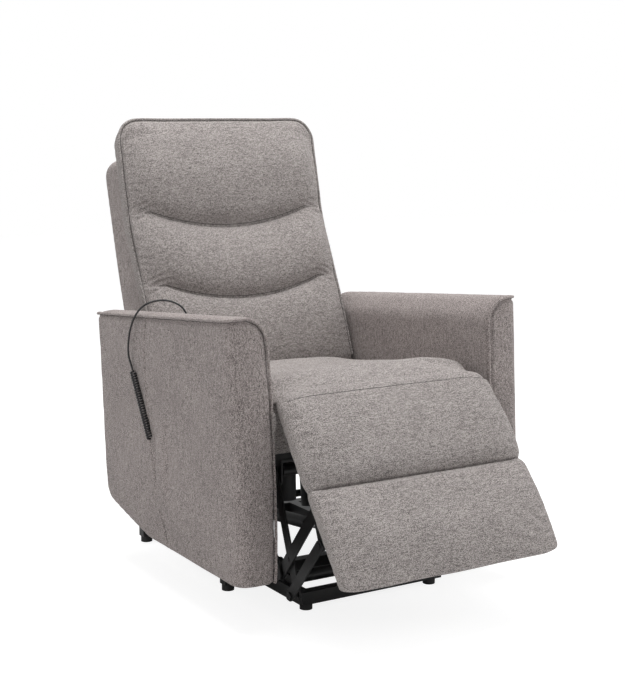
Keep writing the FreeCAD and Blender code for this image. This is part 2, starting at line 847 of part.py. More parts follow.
def rounded_path(points, radii):
    """Straight runs between points, joined at each inner point by an arc of its radius."""
    edges = []
    last = points[0]
    for before, corner, after, radius in zip(points, points[1:], points[2:], radii):
        first = (corner - before).normalize()
        second = (after - corner).normalize()
        reach = radius * math.tan(first.getAngle(second) / 2)
        enter = corner - first * reach
        leave = corner + second * reach
        edges.append(Part.LineSegment(last, enter).toShape())
        edges.append(corner_arc(enter, corner, leave))
        last = leave
    edges.append(Part.LineSegment(last, points[-1]).toShape())
    return Part.Wire(edges)


def tube(path, radius):
    """A round tube along a smooth path."""
    first = path.Edges[0]
    start = first.valueAt(first.FirstParameter)
    run = first.tangentAt(first.FirstParameter)
    ring = Part.Wire([Part.Circle(start, run, radius).toShape()])
    return path.makePipeShell([ring], True, False)


def arm_welt_path(side, start_gap):
    """The line of the piping: along the top outer edge, across the front, down the inner edge."""
    outer = side * val("arm_outer")
    inner = side * val("arm_inner")
    front = val("arm_front_high")
    rear = val("arm_rear_high") - start_gap
    low = val("arm_underside") + start_gap
    top = val("arm_front_top")
    points = [Vector(outer, rear, top_z(rear)), Vector(outer, front, top), Vector(inner, front, top),
              Vector(inner, front_y(low), low)]
    return rounded_path(points, [val("welt_corner"), val("arm_inner_round")])


def curl_line():
    """Top and foot of the line that the curly cord winds about."""
    top = Vector(*CORD_ROUTE[-1])
    return top, Vector(top.x, val("coil_foot_y"), val("coil_foot_z"))


def curl_end():
    """Where the curly cord turns in to the handset, in the side view."""
    top, low = curl_line()
    axis = (low - top).normalize()
    aside = Vector(1, 0, 0)
    place = low - axis.cross(aside) * val("coil_round-cord_round")
    return place


def handset_hollow():
    """The space in the right arm behind the pocket, just clear of the handset and its boot."""
    gap = "pocket_gap"
    main = box("handset_hollow", ("-arm_outer-1", "-arm_outer+handset_deep+" + gap),
               ("handset_y-handset_wide/2-" + gap, "handset_y+handset_wide/2+" + gap),
               ("handset_z-handset_tall/2-" + gap, "handset_z+handset_tall/2+" + gap))
    end = curl_end()
    boot = box("boot_hollow", ("-arm_outer-1", "-arm_outer+boot_inset+boot_deep+" + gap),
               ("handset_y+handset_wide/2-1", "%.3f+boot_half+%s" % (end.y, gap)),
               ("%.3f-boot_half-%s" % (end.z, gap), "%.3f+boot_half+%s" % (end.z, gap)))
    return fuse("handset_space", [main, boot])


def mirrored(name, source):
    item = doc.addObject("Part::Mirroring", name)
    item.Source = source
    item.Normal = Vector(1, 0, 0)
    return item


def arms():
    """The left arm with its piping and the groove that holds it, then their mirror images;
    the right arm also gets the hollow for the handset."""
    body = arm_body("left", 1)
    groove = doc.addObject("Part::Feature", "welt_groove_left")
    groove.Shape = tube(arm_welt_path(1, -val("welt_radius")), val("welt_radius+layer_gap"))
    left = cut("arm_left", body, groove)
    welt = doc.addObject("Part::Feature", "arm_welt_left")
    welt.Shape = tube(arm_welt_path(1, 2), val("welt_radius"))
    doc.recompute()
    mirrored("welt_groove_right", groove)
    right = cut("arm_right", mirrored("arm_right_whole", left), handset_hollow())
    label(left, "arm_left")
    label(right, "arm_right")
    label(welt, "arm_welt_left")
    label(mirrored("arm_welt_right", welt), "arm_welt_right")


def seat_panels():
    for side, hand in ((1, "left"), (-1, "right")):
        name = "seat_side_panel_" + hand
        body = doc.addObject("PartDesign::Body", name + "_form")
        span = side_span(side, "arm_inner-panel_thick", "arm_inner")
        sketch = side_sketch(body, name + "_outline", span[0])
        outline(sketch, [("panel_front+4", "panel_top"), ("panel_front", "panel_top-12"),
                         ("panel_front+10", "panel_low+panel_corner"),
                         ("panel_front+panel_corner", "panel_low+6"),
                         ("panel_front+2*panel_corner", "panel_low"), ("panel_rear", "panel_low"),
                         ("panel_rear", "panel_top")])
        pad(body, sketch, span)
        groove = doc.getObject("welt_groove_" + hand)
        label(cut(name + "_grooved", body, groove), name)


# Backrest: board, cushion of three pillows, outer shell and piping
def back_line():
    """The front piping line of the back in the side view, foot to head."""
    return [(val("back_foot_y"), val("back_foot_z")), (val("back_lumbar_y"), val("back_lumbar_z")),
            (val("back_neck_y"), val("back_neck_z")), (val("back_head_y"), val("back_head_z"))]


def back_y(height, behind):
    """A place behind the piping line at a height."""
    stops = back_line()
    height = max(height, stops[0][1])
    for low, high in zip(stops, stops[1:]):
        if height <= high[1] or high is stops[-1]:
            share = (height - low[1]) / (high[1] - low[1])
            return low[0] + share * (high[0] - low[0]) + behind


def back_cushion():
    """Three pillows between sewn channels that dip in the middle of the back."""
    half = val("back_half")
    depth = val("back_depth")
    reach = val("seam_reach")
    sections = []
    flat = 1 - val("back_shoulder") / half
    for share in (-1, -0.99, -0.96, -0.92, -0.87, flat * -1, -0.62, -0.31, 0, 0.31, 0.62, flat, 0.87, 0.92, 0.96, 0.99, 1):
        edge = max(0, abs(share) - flat) / (1 - flat)
        swell = 1 - 0.75 * edge ** 2 - 0.1 * share ** 2
        inset = 10 * edge ** 2
        fullness = (1 - edge) * val("channel_depth")
        rise = val("seam_rise") * min(1, abs(share) * half / reach) ** 2
        crease = val("back_crease_z")
        lumbar = val("back_lumbar_z") + rise
        neck = val("back_neck_z") + rise
        top = val("back_top_z") - val("back_shoulder") * (1 - math.sqrt(max(0, 1 - edge ** 2)))
        head = top - 30
        foot = val("back_underside")
        sections.append(bowed_wire(share * half, [
            (back_y(foot, inset + 6), foot, 1),
            (back_y(crease, inset - 3), crease, val("pillow_bow_low") * swell),
            (back_y(lumbar, inset - fullness), lumbar, val("pillow_bow_mid") * swell),
            (back_y(neck, inset - fullness), neck, val("pillow_bow_head") * swell),
            (back_y(head, inset - 8 * (1 - edge)), head, 8),
            (back_y(top, depth * 0.3), top, 3),
            (back_y(top - 22, depth), top - 22, -1),
            (back_y(val("back_neck_z"), depth), val("back_neck_z"), -1),
            (back_y(val("back_lumbar_z"), depth), val("back_lumbar_z"), -1),
            (back_y(val("back_foot_z"), depth), val("back_foot_z"), None),
            (back_y(foot, depth), foot, None)]))
    return soft_loft("back_cushion", sections)


def back_layer(name, half, front, rear, low, high):
    """A flat layer that follows the back's line at a depth behind the piping."""
    stops = [low, val("back_foot_z"), val("back_lumbar_z"), val("back_neck_z"), high]
    outline_points = [(back_y(z, front), z, None) for z in stops]
    outline_points += [(back_y(z, rear), z, None) for z in reversed(stops)]
    face = Part.Face(bowed_wire(-half, outline_points))
    return face.extrude(Vector(2 * half, 0, 0))


def back_board():
    """Bent board between cushion and shell, with the hinge brackets and the drive's crank."""
    gap = val("layer_gap")
    front = val("back_depth") + gap
    shape = back_layer("board", val("shell_half") - 14, front, front + val("back_board"),
                       val("back_underside+board_foot_lift"), val("back_top_z") - 70)
    item = doc.addObject("Part::Feature", "back_board")
    item.Shape = shape
    label(item, "back_board")


def back_brackets():
    for side, hand in ((1, "left"), (-1, "right")):
        name = "back_bracket_" + hand
        body = doc.addObject("PartDesign::Body", name)
        near = SIDE_PLATE + "-plate-plate_gap"
        span = side_span(side, near, near + "+plate")
        sketch = side_sketch(body, name + "_outline", span[0])
        board_rear = val("back_depth+layer_gap+back_board+layer_gap")
        foot = val("back_underside")
        put("bracket_foot_%s" % hand, round(back_y(foot, board_rear), 3))
        put("bracket_head_%s" % hand, round(back_y(foot + val("bracket_rise"), board_rear), 3))
        doc.recompute()
        outline(sketch, [("hinge_y-15", "hinge_z-15"), ("hinge_y+18", "hinge_z-15"),
                         ("bracket_foot_%s+34" % hand, "back_underside+20"),
                         ("bracket_head_%s+16" % hand, "back_underside+bracket_rise"),
                         ("bracket_head_%s" % hand, "back_underside+bracket_rise"),
                         ("bracket_foot_%s" % hand, "back_underside"), ("hinge_y-15", "hinge_z+15")])
        round_hole(sketch, HINGE_PIVOT, BORE)
        pad(body, sketch, span)
        label(body, name)


def back_shell():
    """Padded outer back, narrower and lower than the cushion, slotted for the brackets."""
    gap = val("layer_gap")
    front = val("back_depth+back_board") + 2 * gap
    low = val("shell_foot")
    high = val("shell_top")
    half = val("shell_half")
    round_off = val("shell_round")
    sections = []
    for share in (-1, -0.985, -0.94, -0.88, -0.82, 0.82, 0.88, 0.94, 0.985, 1):
        edge = max(0, abs(share) - 0.82) / 0.18
        drop = round_off * (1 - math.sqrt(max(0, 1 - edge ** 2)))
        pull = drop * 0.35
        top = high - drop
        sections.append(bowed_wire(share * half, [
            (back_y(low, front), low, None),
            (back_y(val("back_foot_z"), front), val("back_foot_z"), None),
            (back_y(val("back_lumbar_z"), front), val("back_lumbar_z"), None),
            (back_y(val("back_neck_z"), front), val("back_neck_z"), None),
            (back_y(top, front), top, 6),
            (val("shell_rear_top") - 14 - pull, top - 6, 6),
            (val("shell_rear_top") - pull, top - 34, 5),
            (val("shell_rear_foot") - pull, low, None)]))
    form = doc.addObject("Part::Feature", "back_shell_form")
    form.Shape = Part.makeLoft(sections, True, True)
    slots = []
    for side in (1, -1):
        near = SIDE_PLATE + "-plate-plate_gap"
        span = side_span(side, near + "-layer_gap", near + "+plate+layer_gap")
        slots.append(box("shell_slot_%d" % (side > 0), span, ("hinge_y-20", "bracket_foot_left+35"),
                         ("shell_foot-1", "back_underside+bracket_rise+layer_gap")))
    return label(cut("back_shell", form, fuse("shell_slots", slots)), "back_shell")


def back_welt():
    """Piping along the front edge of the cushion: up one side, over the top and down the other."""
    behind = val("welt_radius") * 3
    half = val("back_half+welt_radius+2*layer_gap")
    head = val("back_top_z+welt_radius+2*layer_gap")
    rise = [Vector(half, back_y(z, behind), z) for z in
            (val("back_foot_z+welt_radius"), val("back_lumbar_z"), val("back_neck_z"))]
    corner = Vector(half, back_y(head, behind), head)
    right = [Vector(-place.x, place.y, place.z) for place in reversed(rise + [corner])]
    bend = val("back_shoulder")
    radii = [6 * bend, 6 * bend, bend, bend, 6 * bend, 6 * bend]
    item = doc.addObject("Part::Feature", "back_welt")
    item.Shape = tube(rounded_path(rise + [corner] + right, radii), val("welt_radius"))
    return label(item, "back_welt")


# Footrest: linkage, board, brackets and pad
def footrest_links():
    for side, hand in ((1, "left"), (-1, "right")):
        link("footrest_drive_link_" + hand, side, DRIVE, (DRIVE_PIVOT, LOWER_PIVOT),
             [(DRIVE_PIVOT, "stud")],
             [(DRIVE + "+plate", CROSS + "+plate+stud_proud", CROSS_PIVOT, "stud"),
              (DRIVE + "+plate", OUTER + "+plate+stud_proud", LOWER_PIVOT, "stud"),
              (OUTER + "+plate+stud_proud", OUTER + "+plate+stud_proud+head_thick", LOWER_PIVOT,
               "head_round")])
        link("footrest_cross_link_" + hand, side, CROSS, (TAIL_PIVOT, BOARD_UPPER),
             [(TAIL_PIVOT, "stud-1+stay_play"), (CROSS_PIVOT, BORE), (BOARD_UPPER, BORE)], [], "tail_round")
        link("footrest_stay_link_" + hand, side, STAY, (STAY_PIVOT, TAIL_PIVOT),
             [(STAY_PIVOT, BORE)], [(CROSS + "-stud_proud", STAY, TAIL_PIVOT, "stud-1")])
        link("footrest_outer_link_" + hand, side, OUTER, (LOWER_PIVOT, BOARD_LOWER),
             [(LOWER_PIVOT, BORE), (BOARD_LOWER, "stud+open_play")], [])


def pad_place(along, out):
    """A place in the footrest's own frame: down its face from the knee, and out of its face."""
    tilt = math.radians(val("pad_tilt"))
    y = val("knee_y") - along * math.sin(tilt) - out * math.cos(tilt)
    z = val("knee_z") - along * math.cos(tilt) + out * math.sin(tilt)
    return y, z


def footrest_pad():
    """One padded cover with a sewn channel across it; its upper lip meets the seat's nose."""
    half = val("pad_half")
    thick = val("pad_thick")
    lip = val("pad_lip")
    sections = []
    for share in (-1, -0.97, -0.9, -0.5, 0, 0.5, 0.9, 0.97, 1):
        edge = max(0, abs(share) - 0.85) / 0.15
        bow = val("pad_bow") * (1 - 0.7 * edge ** 2)
        face = val("pad_face") - val("pad_draw") * edge ** 2
        seam = val("pad_seam")
        end = val("pad_length") - val("pad_draw") * edge ** 2
        stops = [(-lip, face, bow), (seam, face - 4, bow), (end - 6, face - 5, 6),
                 (end, face - 18, 2), (end - 6, -thick, None),
                 (val("pad_full_at"), -thick, None), (0, -val("pad_tip"), None),
                 (1 - lip, face - val("pad_lip_thick"), 2)]
        sections.append(bowed_wire(share * half, [pad_place(along, out) + (swell if swell is None else -swell,)
                                                  for along, out, swell in stops]))
    return soft_loft("footrest_pad", sections)


def footrest_board():
    rear = val("pad_thick+layer_gap")
    corners = [(val("board_start"), -rear), (val("board_end"), -rear),
               (val("board_end"), -rear - val("board_thick")), (val("board_start"), -rear - val("board_thick"))]
    wire = bowed_wire(-val("board_half"), [pad_place(along, out) + (None,) for along, out in corners])
    item = doc.addObject("Part::Feature", "footrest_board")
    item.Shape = Part.Face(wire).extrude(Vector(2 * val("board_half"), 0, 0))
    return label(item, "footrest_board")


def footrest_brackets():
    """Steel brackets on the back of the board that carry the ends of the links."""
    rear = val("pad_thick+layer_gap+board_thick")
    round_off = val("link_round")
    for side, hand in ((1, "left"), (-1, "right")):
        near, far = (STAY, STAY + "+plate")
        low = min(side * val(near), side * val(far))
        shapes = []
        for place in (BOARD_UPPER, BOARD_LOWER):
            centre = Vector(low, val(place[0]), val(place[1]))
            shapes.append(Part.makeCylinder(round_off, val("plate"), centre, Vector(1, 0, 0)))
        upper = (val(BOARD_UPPER[0]), val(BOARD_UPPER[1]))
        lower = (val(BOARD_LOWER[0]), val(BOARD_LOWER[1]))
        web = [pad_place(val("board_start") + 6, -rear) + (None,),
               pad_place(val("board_end") - 70, -rear) + (None,),
               (lower[0], lower[1] - round_off + 2, None),
               (lower[0] + round_off - 2, lower[1], None),
               (upper[0] + round_off - 2, upper[1], None)]
        shapes.append(Part.Face(bowed_wire(low, web)).extrude(Vector(val("plate"), 0, 0)))
        flange = [pad_place(along, -out) + (None,) for along, out in
                  ((val("board_start") + 6, rear), (val("board_end") - 70, rear),
                   (val("board_end") - 70, rear + 3), (val("board_start") + 6, rear + 3))]
        flange_low = low if side > 0 else low + val("plate")
        shapes.append(Part.Face(bowed_wire(flange_low, flange)).extrude(Vector(side * 22, 0, 0)))
        stud = val("stud")
        inner = sorted((side * val(CROSS + "-stud_proud"), side * val(STAY)))
        shapes.append(Part.makeCylinder(stud, inner[1] - inner[0], Vector(inner[0], upper[0], upper[1]), Vector(1, 0, 0)))
        outer = sorted((side * val(STAY + "+plate"), side * val(OUTER + "+plate+stud_proud")))
        shapes.append(Part.makeCylinder(stud, outer[1] - outer[0], Vector(outer[0], lower[0], lower[1]), Vector(1, 0, 0)))
        item = doc.addObject("Part::Feature", "footrest_bracket_" + hand)
        item.Shape = shapes[0].fuse(shapes[1:]).removeSplitter()
        label(item, "footrest_bracket_" + hand)


def footrest_torque_tube():
    """The tube between the drive links, its shaft through both side plates, and the drive's crank."""
    reach = DRIVE + "+plate+stud_proud"
    shaft = cross_rod("foot_tube_shaft", ("-(%s)" % reach, reach), DRIVE_PIVOT, "stud")
    tube = cross_rod("foot_tube_body", ("-(%s)+plate+2*plate_gap" % SIDE_PLATE, SIDE_PLATE + "-plate-2*plate_gap"),
                     DRIVE_PIVOT, "torque_tube")
    ears = []
    for side in (1, -1):
        if side > 0:
            span = ("foot_drive_x+lug_inner-5", "foot_drive_x+lug_inner-5+lug")
        else:
            span = ("foot_drive_x-lug_inner+5-lug", "foot_drive_x-lug_inner+5")
        ears.append(crank_plate("foot_crank_%d" % (side > 0), span, DRIVE_PIVOT, ("foot_eye_y", "foot_eye_z")))
    pin = cross_rod("foot_crank_pin", ("foot_drive_x-lug_inner", "foot_drive_x+lug_inner"),
                    ("foot_eye_y", "foot_eye_z"), "drive_pin")
    return label(fuse("footrest_torque_tube", [tube, shaft] + ears + [pin]), "footrest_torque_tube")


def linear_drive(name, size, body_pin, eye_pin, hang):
    """Gear case and motor on the frame pin, an outer tube, and a rod whose slotted eye
    takes the crank's pin."""
    across = val(size + "_drive_x")
    start = Vector(across, val(body_pin[0]), val(body_pin[1]))
    end = Vector(across, val(eye_pin[0]), val(eye_pin[1]))
    run = (end - start).normalize()
    aside = Vector(0, -run.z, run.y)
    if aside.z * hang < 0:
        aside = aside * -1
    length = (end - start).Length
    case_half = val("lug_inner-drive_gap")
    pin = val("drive_pin")
    case_end = 62
    tube_end = length * 0.62
    case = Part.makeCylinder(17, 2 * case_half, start - Vector(case_half, 0, 0), Vector(1, 0, 0))
    block = Part.makeBox(2 * case_half, case_end, 2 * 17,
                         Vector(0, 0, 0))
    turn = FreeCAD.Rotation(Vector(0, 1, 0), run)
    block.Placement = FreeCAD.Placement(start + turn.multVec(Vector(-case_half, 0, -17)), turn)
    tube = Part.makeCylinder(val("drive_tube"), tube_end - 20, start + run * 20, run)
    motor = Part.makeCylinder(val("motor_round") - 8, val("motor_length"), start + run * 37, aside)
    housing = case.fuse([block, tube, motor])
    hole = Part.makeCylinder(pin + val("fit"), 4 * case_half, start - Vector(2 * case_half, 0, 0), Vector(1, 0, 0))
    bore = Part.makeCylinder(val("drive_rod+drive_gap"), tube_end, start + run * 30, run)
    item = doc.addObject("Part::Feature", name + "_motor")
    item.Shape = housing.cut(hole).cut(bore).removeSplitter()
    label(item, name + "_motor")
    rod_start = 32 + val(size + "_retract")
    rod = Part.makeCylinder(val("drive_rod"), length - rod_start - 10, start + run * rod_start, run)
    eye_half = 10
    wall = 5
    down = pin + val(size + "_slot_down")
    up = pin + val(size + "_slot_up")
    short = pin + val(size + "_slot_short")
    long = pin + val(size + "_slot_long")
    eye_box = Part.makeBox(2 * eye_half, short + long + 2 * wall, down + up + 2 * wall)
    eye_low = Vector(-eye_half, -short - wall, -down - wall)
    eye_box.Placement = FreeCAD.Placement(end + turn.multVec(eye_low), turn)
    slot_box = Part.makeBox(4 * eye_half, short + long, down + up)
    slot_low = Vector(-2 * eye_half, -short, -down)
    slot_box.Placement = FreeCAD.Placement(end + turn.multVec(slot_low), turn)
    item = doc.addObject("Part::Feature", name + "_rod")
    item.Shape = rod.fuse(eye_box).cut(slot_box).removeSplitter()
    label(item, name + "_rod")


def back_crank():
    """Tube between the back brackets with the crank that the back's drive pushes."""
    near = SIDE_PLATE + "-plate-plate_gap"
    ears = []
    for side in (1, -1):
        if side > 0:
            span = ("back_drive_x+lug_inner-5", "back_drive_x+lug_inner-5+lug")
        else:
            span = ("back_drive_x-lug_inner+5-lug", "back_drive_x-lug_inner+5")
        ears.append(crank_plate("back_crank_%d" % (side > 0), span, HINGE_PIVOT, ("back_eye_y", "back_eye_z")))
    tube = cross_rod("back_tube_body", ("-(%s)" % near, near), HINGE_PIVOT, "torque_tube")
    bore = cross_rod("back_tube_bore", ("-(%s)-1" % near, near + "+1"), HINGE_PIVOT, "torque_bore")
    pin = cross_rod("back_crank_pin", ("back_drive_x-lug_inner", "back_drive_x+lug_inner"),
                    ("back_eye_y", "back_eye_z"), "drive_pin")
    whole = fuse("back_tube_whole", [tube] + ears + [pin])
    return label(cut("back_torque_tube", whole, bore), "back_torque_tube")


# Handset in its pocket, the control box under the seat, and the cord between them
def handset():
    face = "-arm_outer+0.3"
    inside = box("handset_block", ("-arm_outer+0.3", "-arm_outer+handset_deep"),
                 ("handset_y-handset_wide/2", "handset_y+handset_wide/2"),
                 ("handset_z-handset_tall/2", "handset_z+handset_tall/2"))
    wells = []
    buttons = []
    for row in (0, 1, 2):
        for column, aside in (("up", -1), ("down", 1)):
            y = "handset_y+(%d)*button_spread" % aside
            z = "handset_z+handset_tall/2-30-%d*button_pitch" % row
            well = cross_rod("well_%d_%s" % (row, column), (face + "-1", face + "+button_proud+button_travel+0.4"),
                             (y, z), "button_round+0.3")
            wells.append(well)
            name = "button_%s_%s" % (("back", "footrest", "lift")[row], column)
            button = cross_rod(name, (face + "+0.2", face + "+button_proud"), (y, z), "button_round")
            buttons.append((button, name))
    end = curl_end()
    boot = box("handset_boot", ("-arm_outer+boot_inset", "-arm_outer+boot_inset+boot_deep"),
               ("handset_y+handset_wide/2-2", "%.3f+boot_half" % end.y),
               ("%.3f-boot_half" % end.z, "%.3f+boot_half" % end.z))
    tool = fuse("button_wells", wells)
    label(cut("handset", fuse("handset_whole", [inside, boot]), tool), "handset")
    for button, name in buttons:
        label(button, name)


def pocket():
    """Fabric pocket sewn to the outer face of the right arm, open along its rear edge."""
    outer = val("arm_outer")
    skin = val("pocket_skin")
    bulge = val("pocket_bulge")
    low = val("pocket_low")
    high = val("pocket_high") - 60
    front = val("pocket_front") - 10
    rear = val("pocket_rear") - 22
    tall = high - low

    def sheet_wire(height, swell):
        start = Vector(-outer - 0.3, front, height)
        end = Vector(-outer - 0.3, rear, height)
        middle = Vector(-outer - 0.3 - swell, (front + rear) / 2, height)
        outer_start = start - Vector(skin, 0, 0)
        outer_end = end - Vector(skin, 0, 0)
        outer_middle = middle - Vector(skin, 0, 0)
        return Part.Wire([Part.Arc(start, middle, end).toShape(),
                          Part.LineSegment(end, outer_end).toShape(),
                          Part.Arc(outer_end, outer_middle, outer_start).toShape(),
                          Part.LineSegment(outer_start, start).toShape()])

    sections = [sheet_wire(low + tall * share, bulge * swell)
                for share, swell in ((0, 0.15), (0.2, 0.8), (0.5, 1), (0.8, 0.8), (1, 0.15))]
    return soft_loft("handset_pocket", sections)


def control_box():
    item = box("control_box", ("-hanger_near", "-hanger_near+box_wide"), ("box_y-box_half", "box_y+box_half"),
               ("box_z-box_tall/2", "box_z+box_tall/2"))
    return label(item, "control_box")


def cord_tube(places, radius, name):
    """A round cord through chosen places: each bend is as large as its two runs allow."""
    points = [Vector(*place) for place in places]
    radii = []
    for before, corner, after in zip(points, points[1:], points[2:]):
        first = corner - before
        second = after - corner
        radii.append(0.45 * min(first.Length, second.Length) / math.tan(first.getAngle(second) / 2))
    path = rounded_path(points, radii)
    solid = tube(path, radius)
    share = solid.Volume / (math.pi * radius ** 2 * path.Length)
    print(name, "bend radii", [round(bend, 1) for bend in radii], "length", round(path.Length))
    print(name, "volume against section times length", round(share, 4))
    item = doc.addObject("Part::Feature", name)
    item.Shape = solid
    return label(item, name)


def biarc(start, run, end, heading):
    """Two arcs from a place and direction to another place and direction."""
    across = end - start
    both = run + heading
    open_share = 2 * (1 - run.dot(heading))
    along = across.dot(both)
    reach = (math.sqrt(along ** 2 + open_share * across.dot(across)) - along) / open_share
    first = start + run * reach
    second = end - heading * reach
    middle = (first + second) * 0.5
    return [corner_arc(start, first, middle), corner_arc(middle, second, end)]


def least_gap(edges, wire):
    """The least clear distance between stretches of a tube that are over half a turn apart."""
    spots = []
    for edge in edges:
        for share in (0, 0.34, 0.67):
            spots.append(edge.valueAt(edge.FirstParameter + share * (edge.LastParameter - edge.FirstParameter)))
    gaps = [(a - b).Length for n, a in enumerate(spots) for b in spots[n + 12:]]
    return min(gaps) - 2 * wire


def curly_cord():
    """The curly part hangs from the cord's end down to the pocket: one tube wound about a line,
    with a straight entry along that line and a straight end that turns in to the handset."""
    wire = val("cord_round")
    radius = val("coil_round") - wire
    top, low = curl_line()
    axis = (low - top).normalize()
    aside = Vector(1, 0, 0)
    other = axis.cross(aside)
    head = 2 * wire
    turns = val("coil_turns")
    centre = top + axis * (head + radius)
    pitch = ((low - top).Length - head - radius) / (turns + 0.75)

    def at(turn):
        angle = 2 * math.pi * turn
        spot = centre + axis * (pitch * turn)
        return spot + aside * (radius * math.cos(angle)) + other * (radius * math.sin(angle))

    def heading(turn):
        angle = 2 * math.pi * turn
        slope = pitch / (2 * math.pi * radius)
        return (other * math.cos(angle) - aside * math.sin(angle) + axis * slope).normalize()

    edges = [Part.LineSegment(top, top + axis * head).toShape()]
    start = top + axis * head
    edges += biarc(start, axis, at(0), heading(0))
    steps = int(turns) * 4 + 2
    for step in range(steps):
        edges += biarc(at(step / 4), heading(step / 4), at((step + 1) / 4), heading((step + 1) / 4))
    mouth = Vector(-val("arm_outer-boot_inset"), curl_end().y, curl_end().z)
    inward = Vector(1, 0, 0)
    edges += biarc(at(steps / 4), heading(steps / 4), mouth - inward * head, inward)
    edges.append(Part.LineSegment(mouth - inward * head, mouth).toShape())
    path = Part.Wire(edges)
    solid = tube(path, wire)
    print("curly cord: pitch", round(pitch, 2), "least gap", round(least_gap(edges, wire), 2))
    print("curly cord volume share", round(solid.Volume / (math.pi * wire ** 2 * path.Length), 3))
    item = doc.addObject("Part::Feature", "handset_curl")
    item.Shape = solid
    return label(item, "handset_curl")


base_frame()
base_feet()
lifting_arms()
side_plates()
chassis_tubes()
hangers()
seat_frame()
seat_springs()
seat_cushion()
arms()
seat_panels()
back_cushion()
back_board()
back_brackets()
back_crank()
back_shell()
back_welt()
footrest_links()
footrest_torque_tube()
footrest_pad()
footrest_board()
footrest_brackets()
linear_drive("lift", "lift", ("lift_body_y", "lift_body_z"), ("lift_eye_y", "lift_eye_z"), 1)
linear_drive("footrest", "foot", ("foot_body_y", "foot_body_z"), ("foot_eye_y", "foot_eye_z"), -1)
linear_drive("back", "back", ("back_body_y", "back_body_z"), ("back_eye_y", "back_eye_z"), -1)
handset()
pocket()
control_box()
cord_tube(CORD_ROUTE, val("cord_round"), "handset_cord")
curly_cord()
doc.recompute()

faults = []
for item in doc.Objects:
    if "Invalid" in item.State or "Error" in item.State:
        faults.append("%s: %s" % (item.Label, item.State))
for item in pieces:
    shape = item.Shape
    if shape.isNull() or not shape.isValid() or not shape.Solids:
        faults.append(item.Label + ": no valid solid")
if faults:
    raise RuntimeError("\n".join(faults))

os.makedirs("parts", exist_ok=True)
for item in pieces:
    item.Shape.exportStep("parts/%s.step" % item.Label)
print(len(pieces), "pieces written")
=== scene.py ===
import math

import bpy
import numpy as np
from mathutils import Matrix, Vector, noise
from mathutils.bvhtree import BVHTree
from mathutils.kdtree import KDTree


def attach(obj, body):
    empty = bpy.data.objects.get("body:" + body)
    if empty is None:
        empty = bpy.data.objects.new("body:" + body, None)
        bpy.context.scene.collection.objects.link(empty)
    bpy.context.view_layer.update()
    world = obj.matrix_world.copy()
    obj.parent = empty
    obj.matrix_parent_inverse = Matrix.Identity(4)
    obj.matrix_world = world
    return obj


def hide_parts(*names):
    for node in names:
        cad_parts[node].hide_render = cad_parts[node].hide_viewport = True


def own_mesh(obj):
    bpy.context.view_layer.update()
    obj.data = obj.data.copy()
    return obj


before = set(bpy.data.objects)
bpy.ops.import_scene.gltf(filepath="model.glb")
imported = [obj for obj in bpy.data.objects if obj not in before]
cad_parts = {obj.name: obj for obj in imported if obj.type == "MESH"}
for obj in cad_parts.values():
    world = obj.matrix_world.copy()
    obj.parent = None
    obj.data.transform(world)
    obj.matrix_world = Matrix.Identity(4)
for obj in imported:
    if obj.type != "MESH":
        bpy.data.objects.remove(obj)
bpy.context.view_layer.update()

# Camera: a little above arm height, in front of the chair's right front corner.
# It looks at a point half way up the chair, over the middle of the seat.
camera_data = bpy.data.cameras.new("photo_camera")
camera_data.lens = 73.03
camera_data.sensor_width = 36.0
camera = bpy.data.objects.new("photo_camera", camera_data)
bpy.context.scene.collection.objects.link(camera)
camera.location = (-1.67708, -2.74610, 1.05169)
look = Vector((0.0, 0.0, 0.516)) - camera.location
camera.rotation_euler = look.to_track_quat("-Z", "Y").to_euler()
bpy.context.scene.camera = camera


# Studio floor and light: a white floor that runs out of sight, a large soft light from
# above, weaker ones from the front right and the left, and an even white surround.
class Thread:
    """A socket in a finish's node tree: sums and products of threads add Math nodes."""

    def __init__(self, tree, socket):
        self.tree = tree
        self.socket = socket

    def make(self, kind, settings=None, feeds=None, out=0):
        """Any other node: its type, its settings, and the values or threads of its sockets."""
        node = self.tree.nodes.new("ShaderNode" + kind)
        for name, value in (settings or {}).items():
            if name == "stops":
                while len(node.color_ramp.elements) < len(value):
                    node.color_ramp.elements.new(0.5)
                for stop, (place, colour) in zip(node.color_ramp.elements, value):
                    stop.position = place
                    stop.color = (*colour, 1.0)
            else:
                setattr(node, name, value)
        for name, value in (feeds or {}).items():
            if isinstance(value, Thread):
                self.tree.links.new(value.socket, node.inputs[name])
            else:
                node.inputs[name].default_value = value
        return Thread(self.tree, node.outputs[out])

    def sum_of(self, operation, first, second):
        return self.make("Math", {"operation": operation}, {0: first, 1: second})

    def __add__(self, other):
        return self.sum_of("ADD", self, other)

    def __radd__(self, other):
        return self.sum_of("ADD", other, self)

    def __sub__(self, other):
        return self.sum_of("SUBTRACT", self, other)

    def __rsub__(self, other):
        return self.sum_of("SUBTRACT", other, self)

    def __mul__(self, other):
        return self.sum_of("MULTIPLY", self, other)

    def __rmul__(self, other):
        return self.sum_of("MULTIPLY", other, self)

    def stretched(self, run):
        return self.make("VectorMath", {"operation": "MULTIPLY"}, {0: self, 1: run})

    def grain(self, size, detail=2.0, rough=0.5):
        return self.make("TexNoise", {}, {"Vector": self, "Scale": 1.0 / size, "Detail": detail,
                                          "Roughness": rough})

    def goes_to(self, shader, name):
        self.tree.links.new(self.socket, shader.inputs[name])

    def tints(self, shader, *stops):
        """Gives the shader a colour for each level of this thread."""
        self.make("ValToRGB", {"stops": stops}, {0: self}).goes_to(shader, "Base Color")


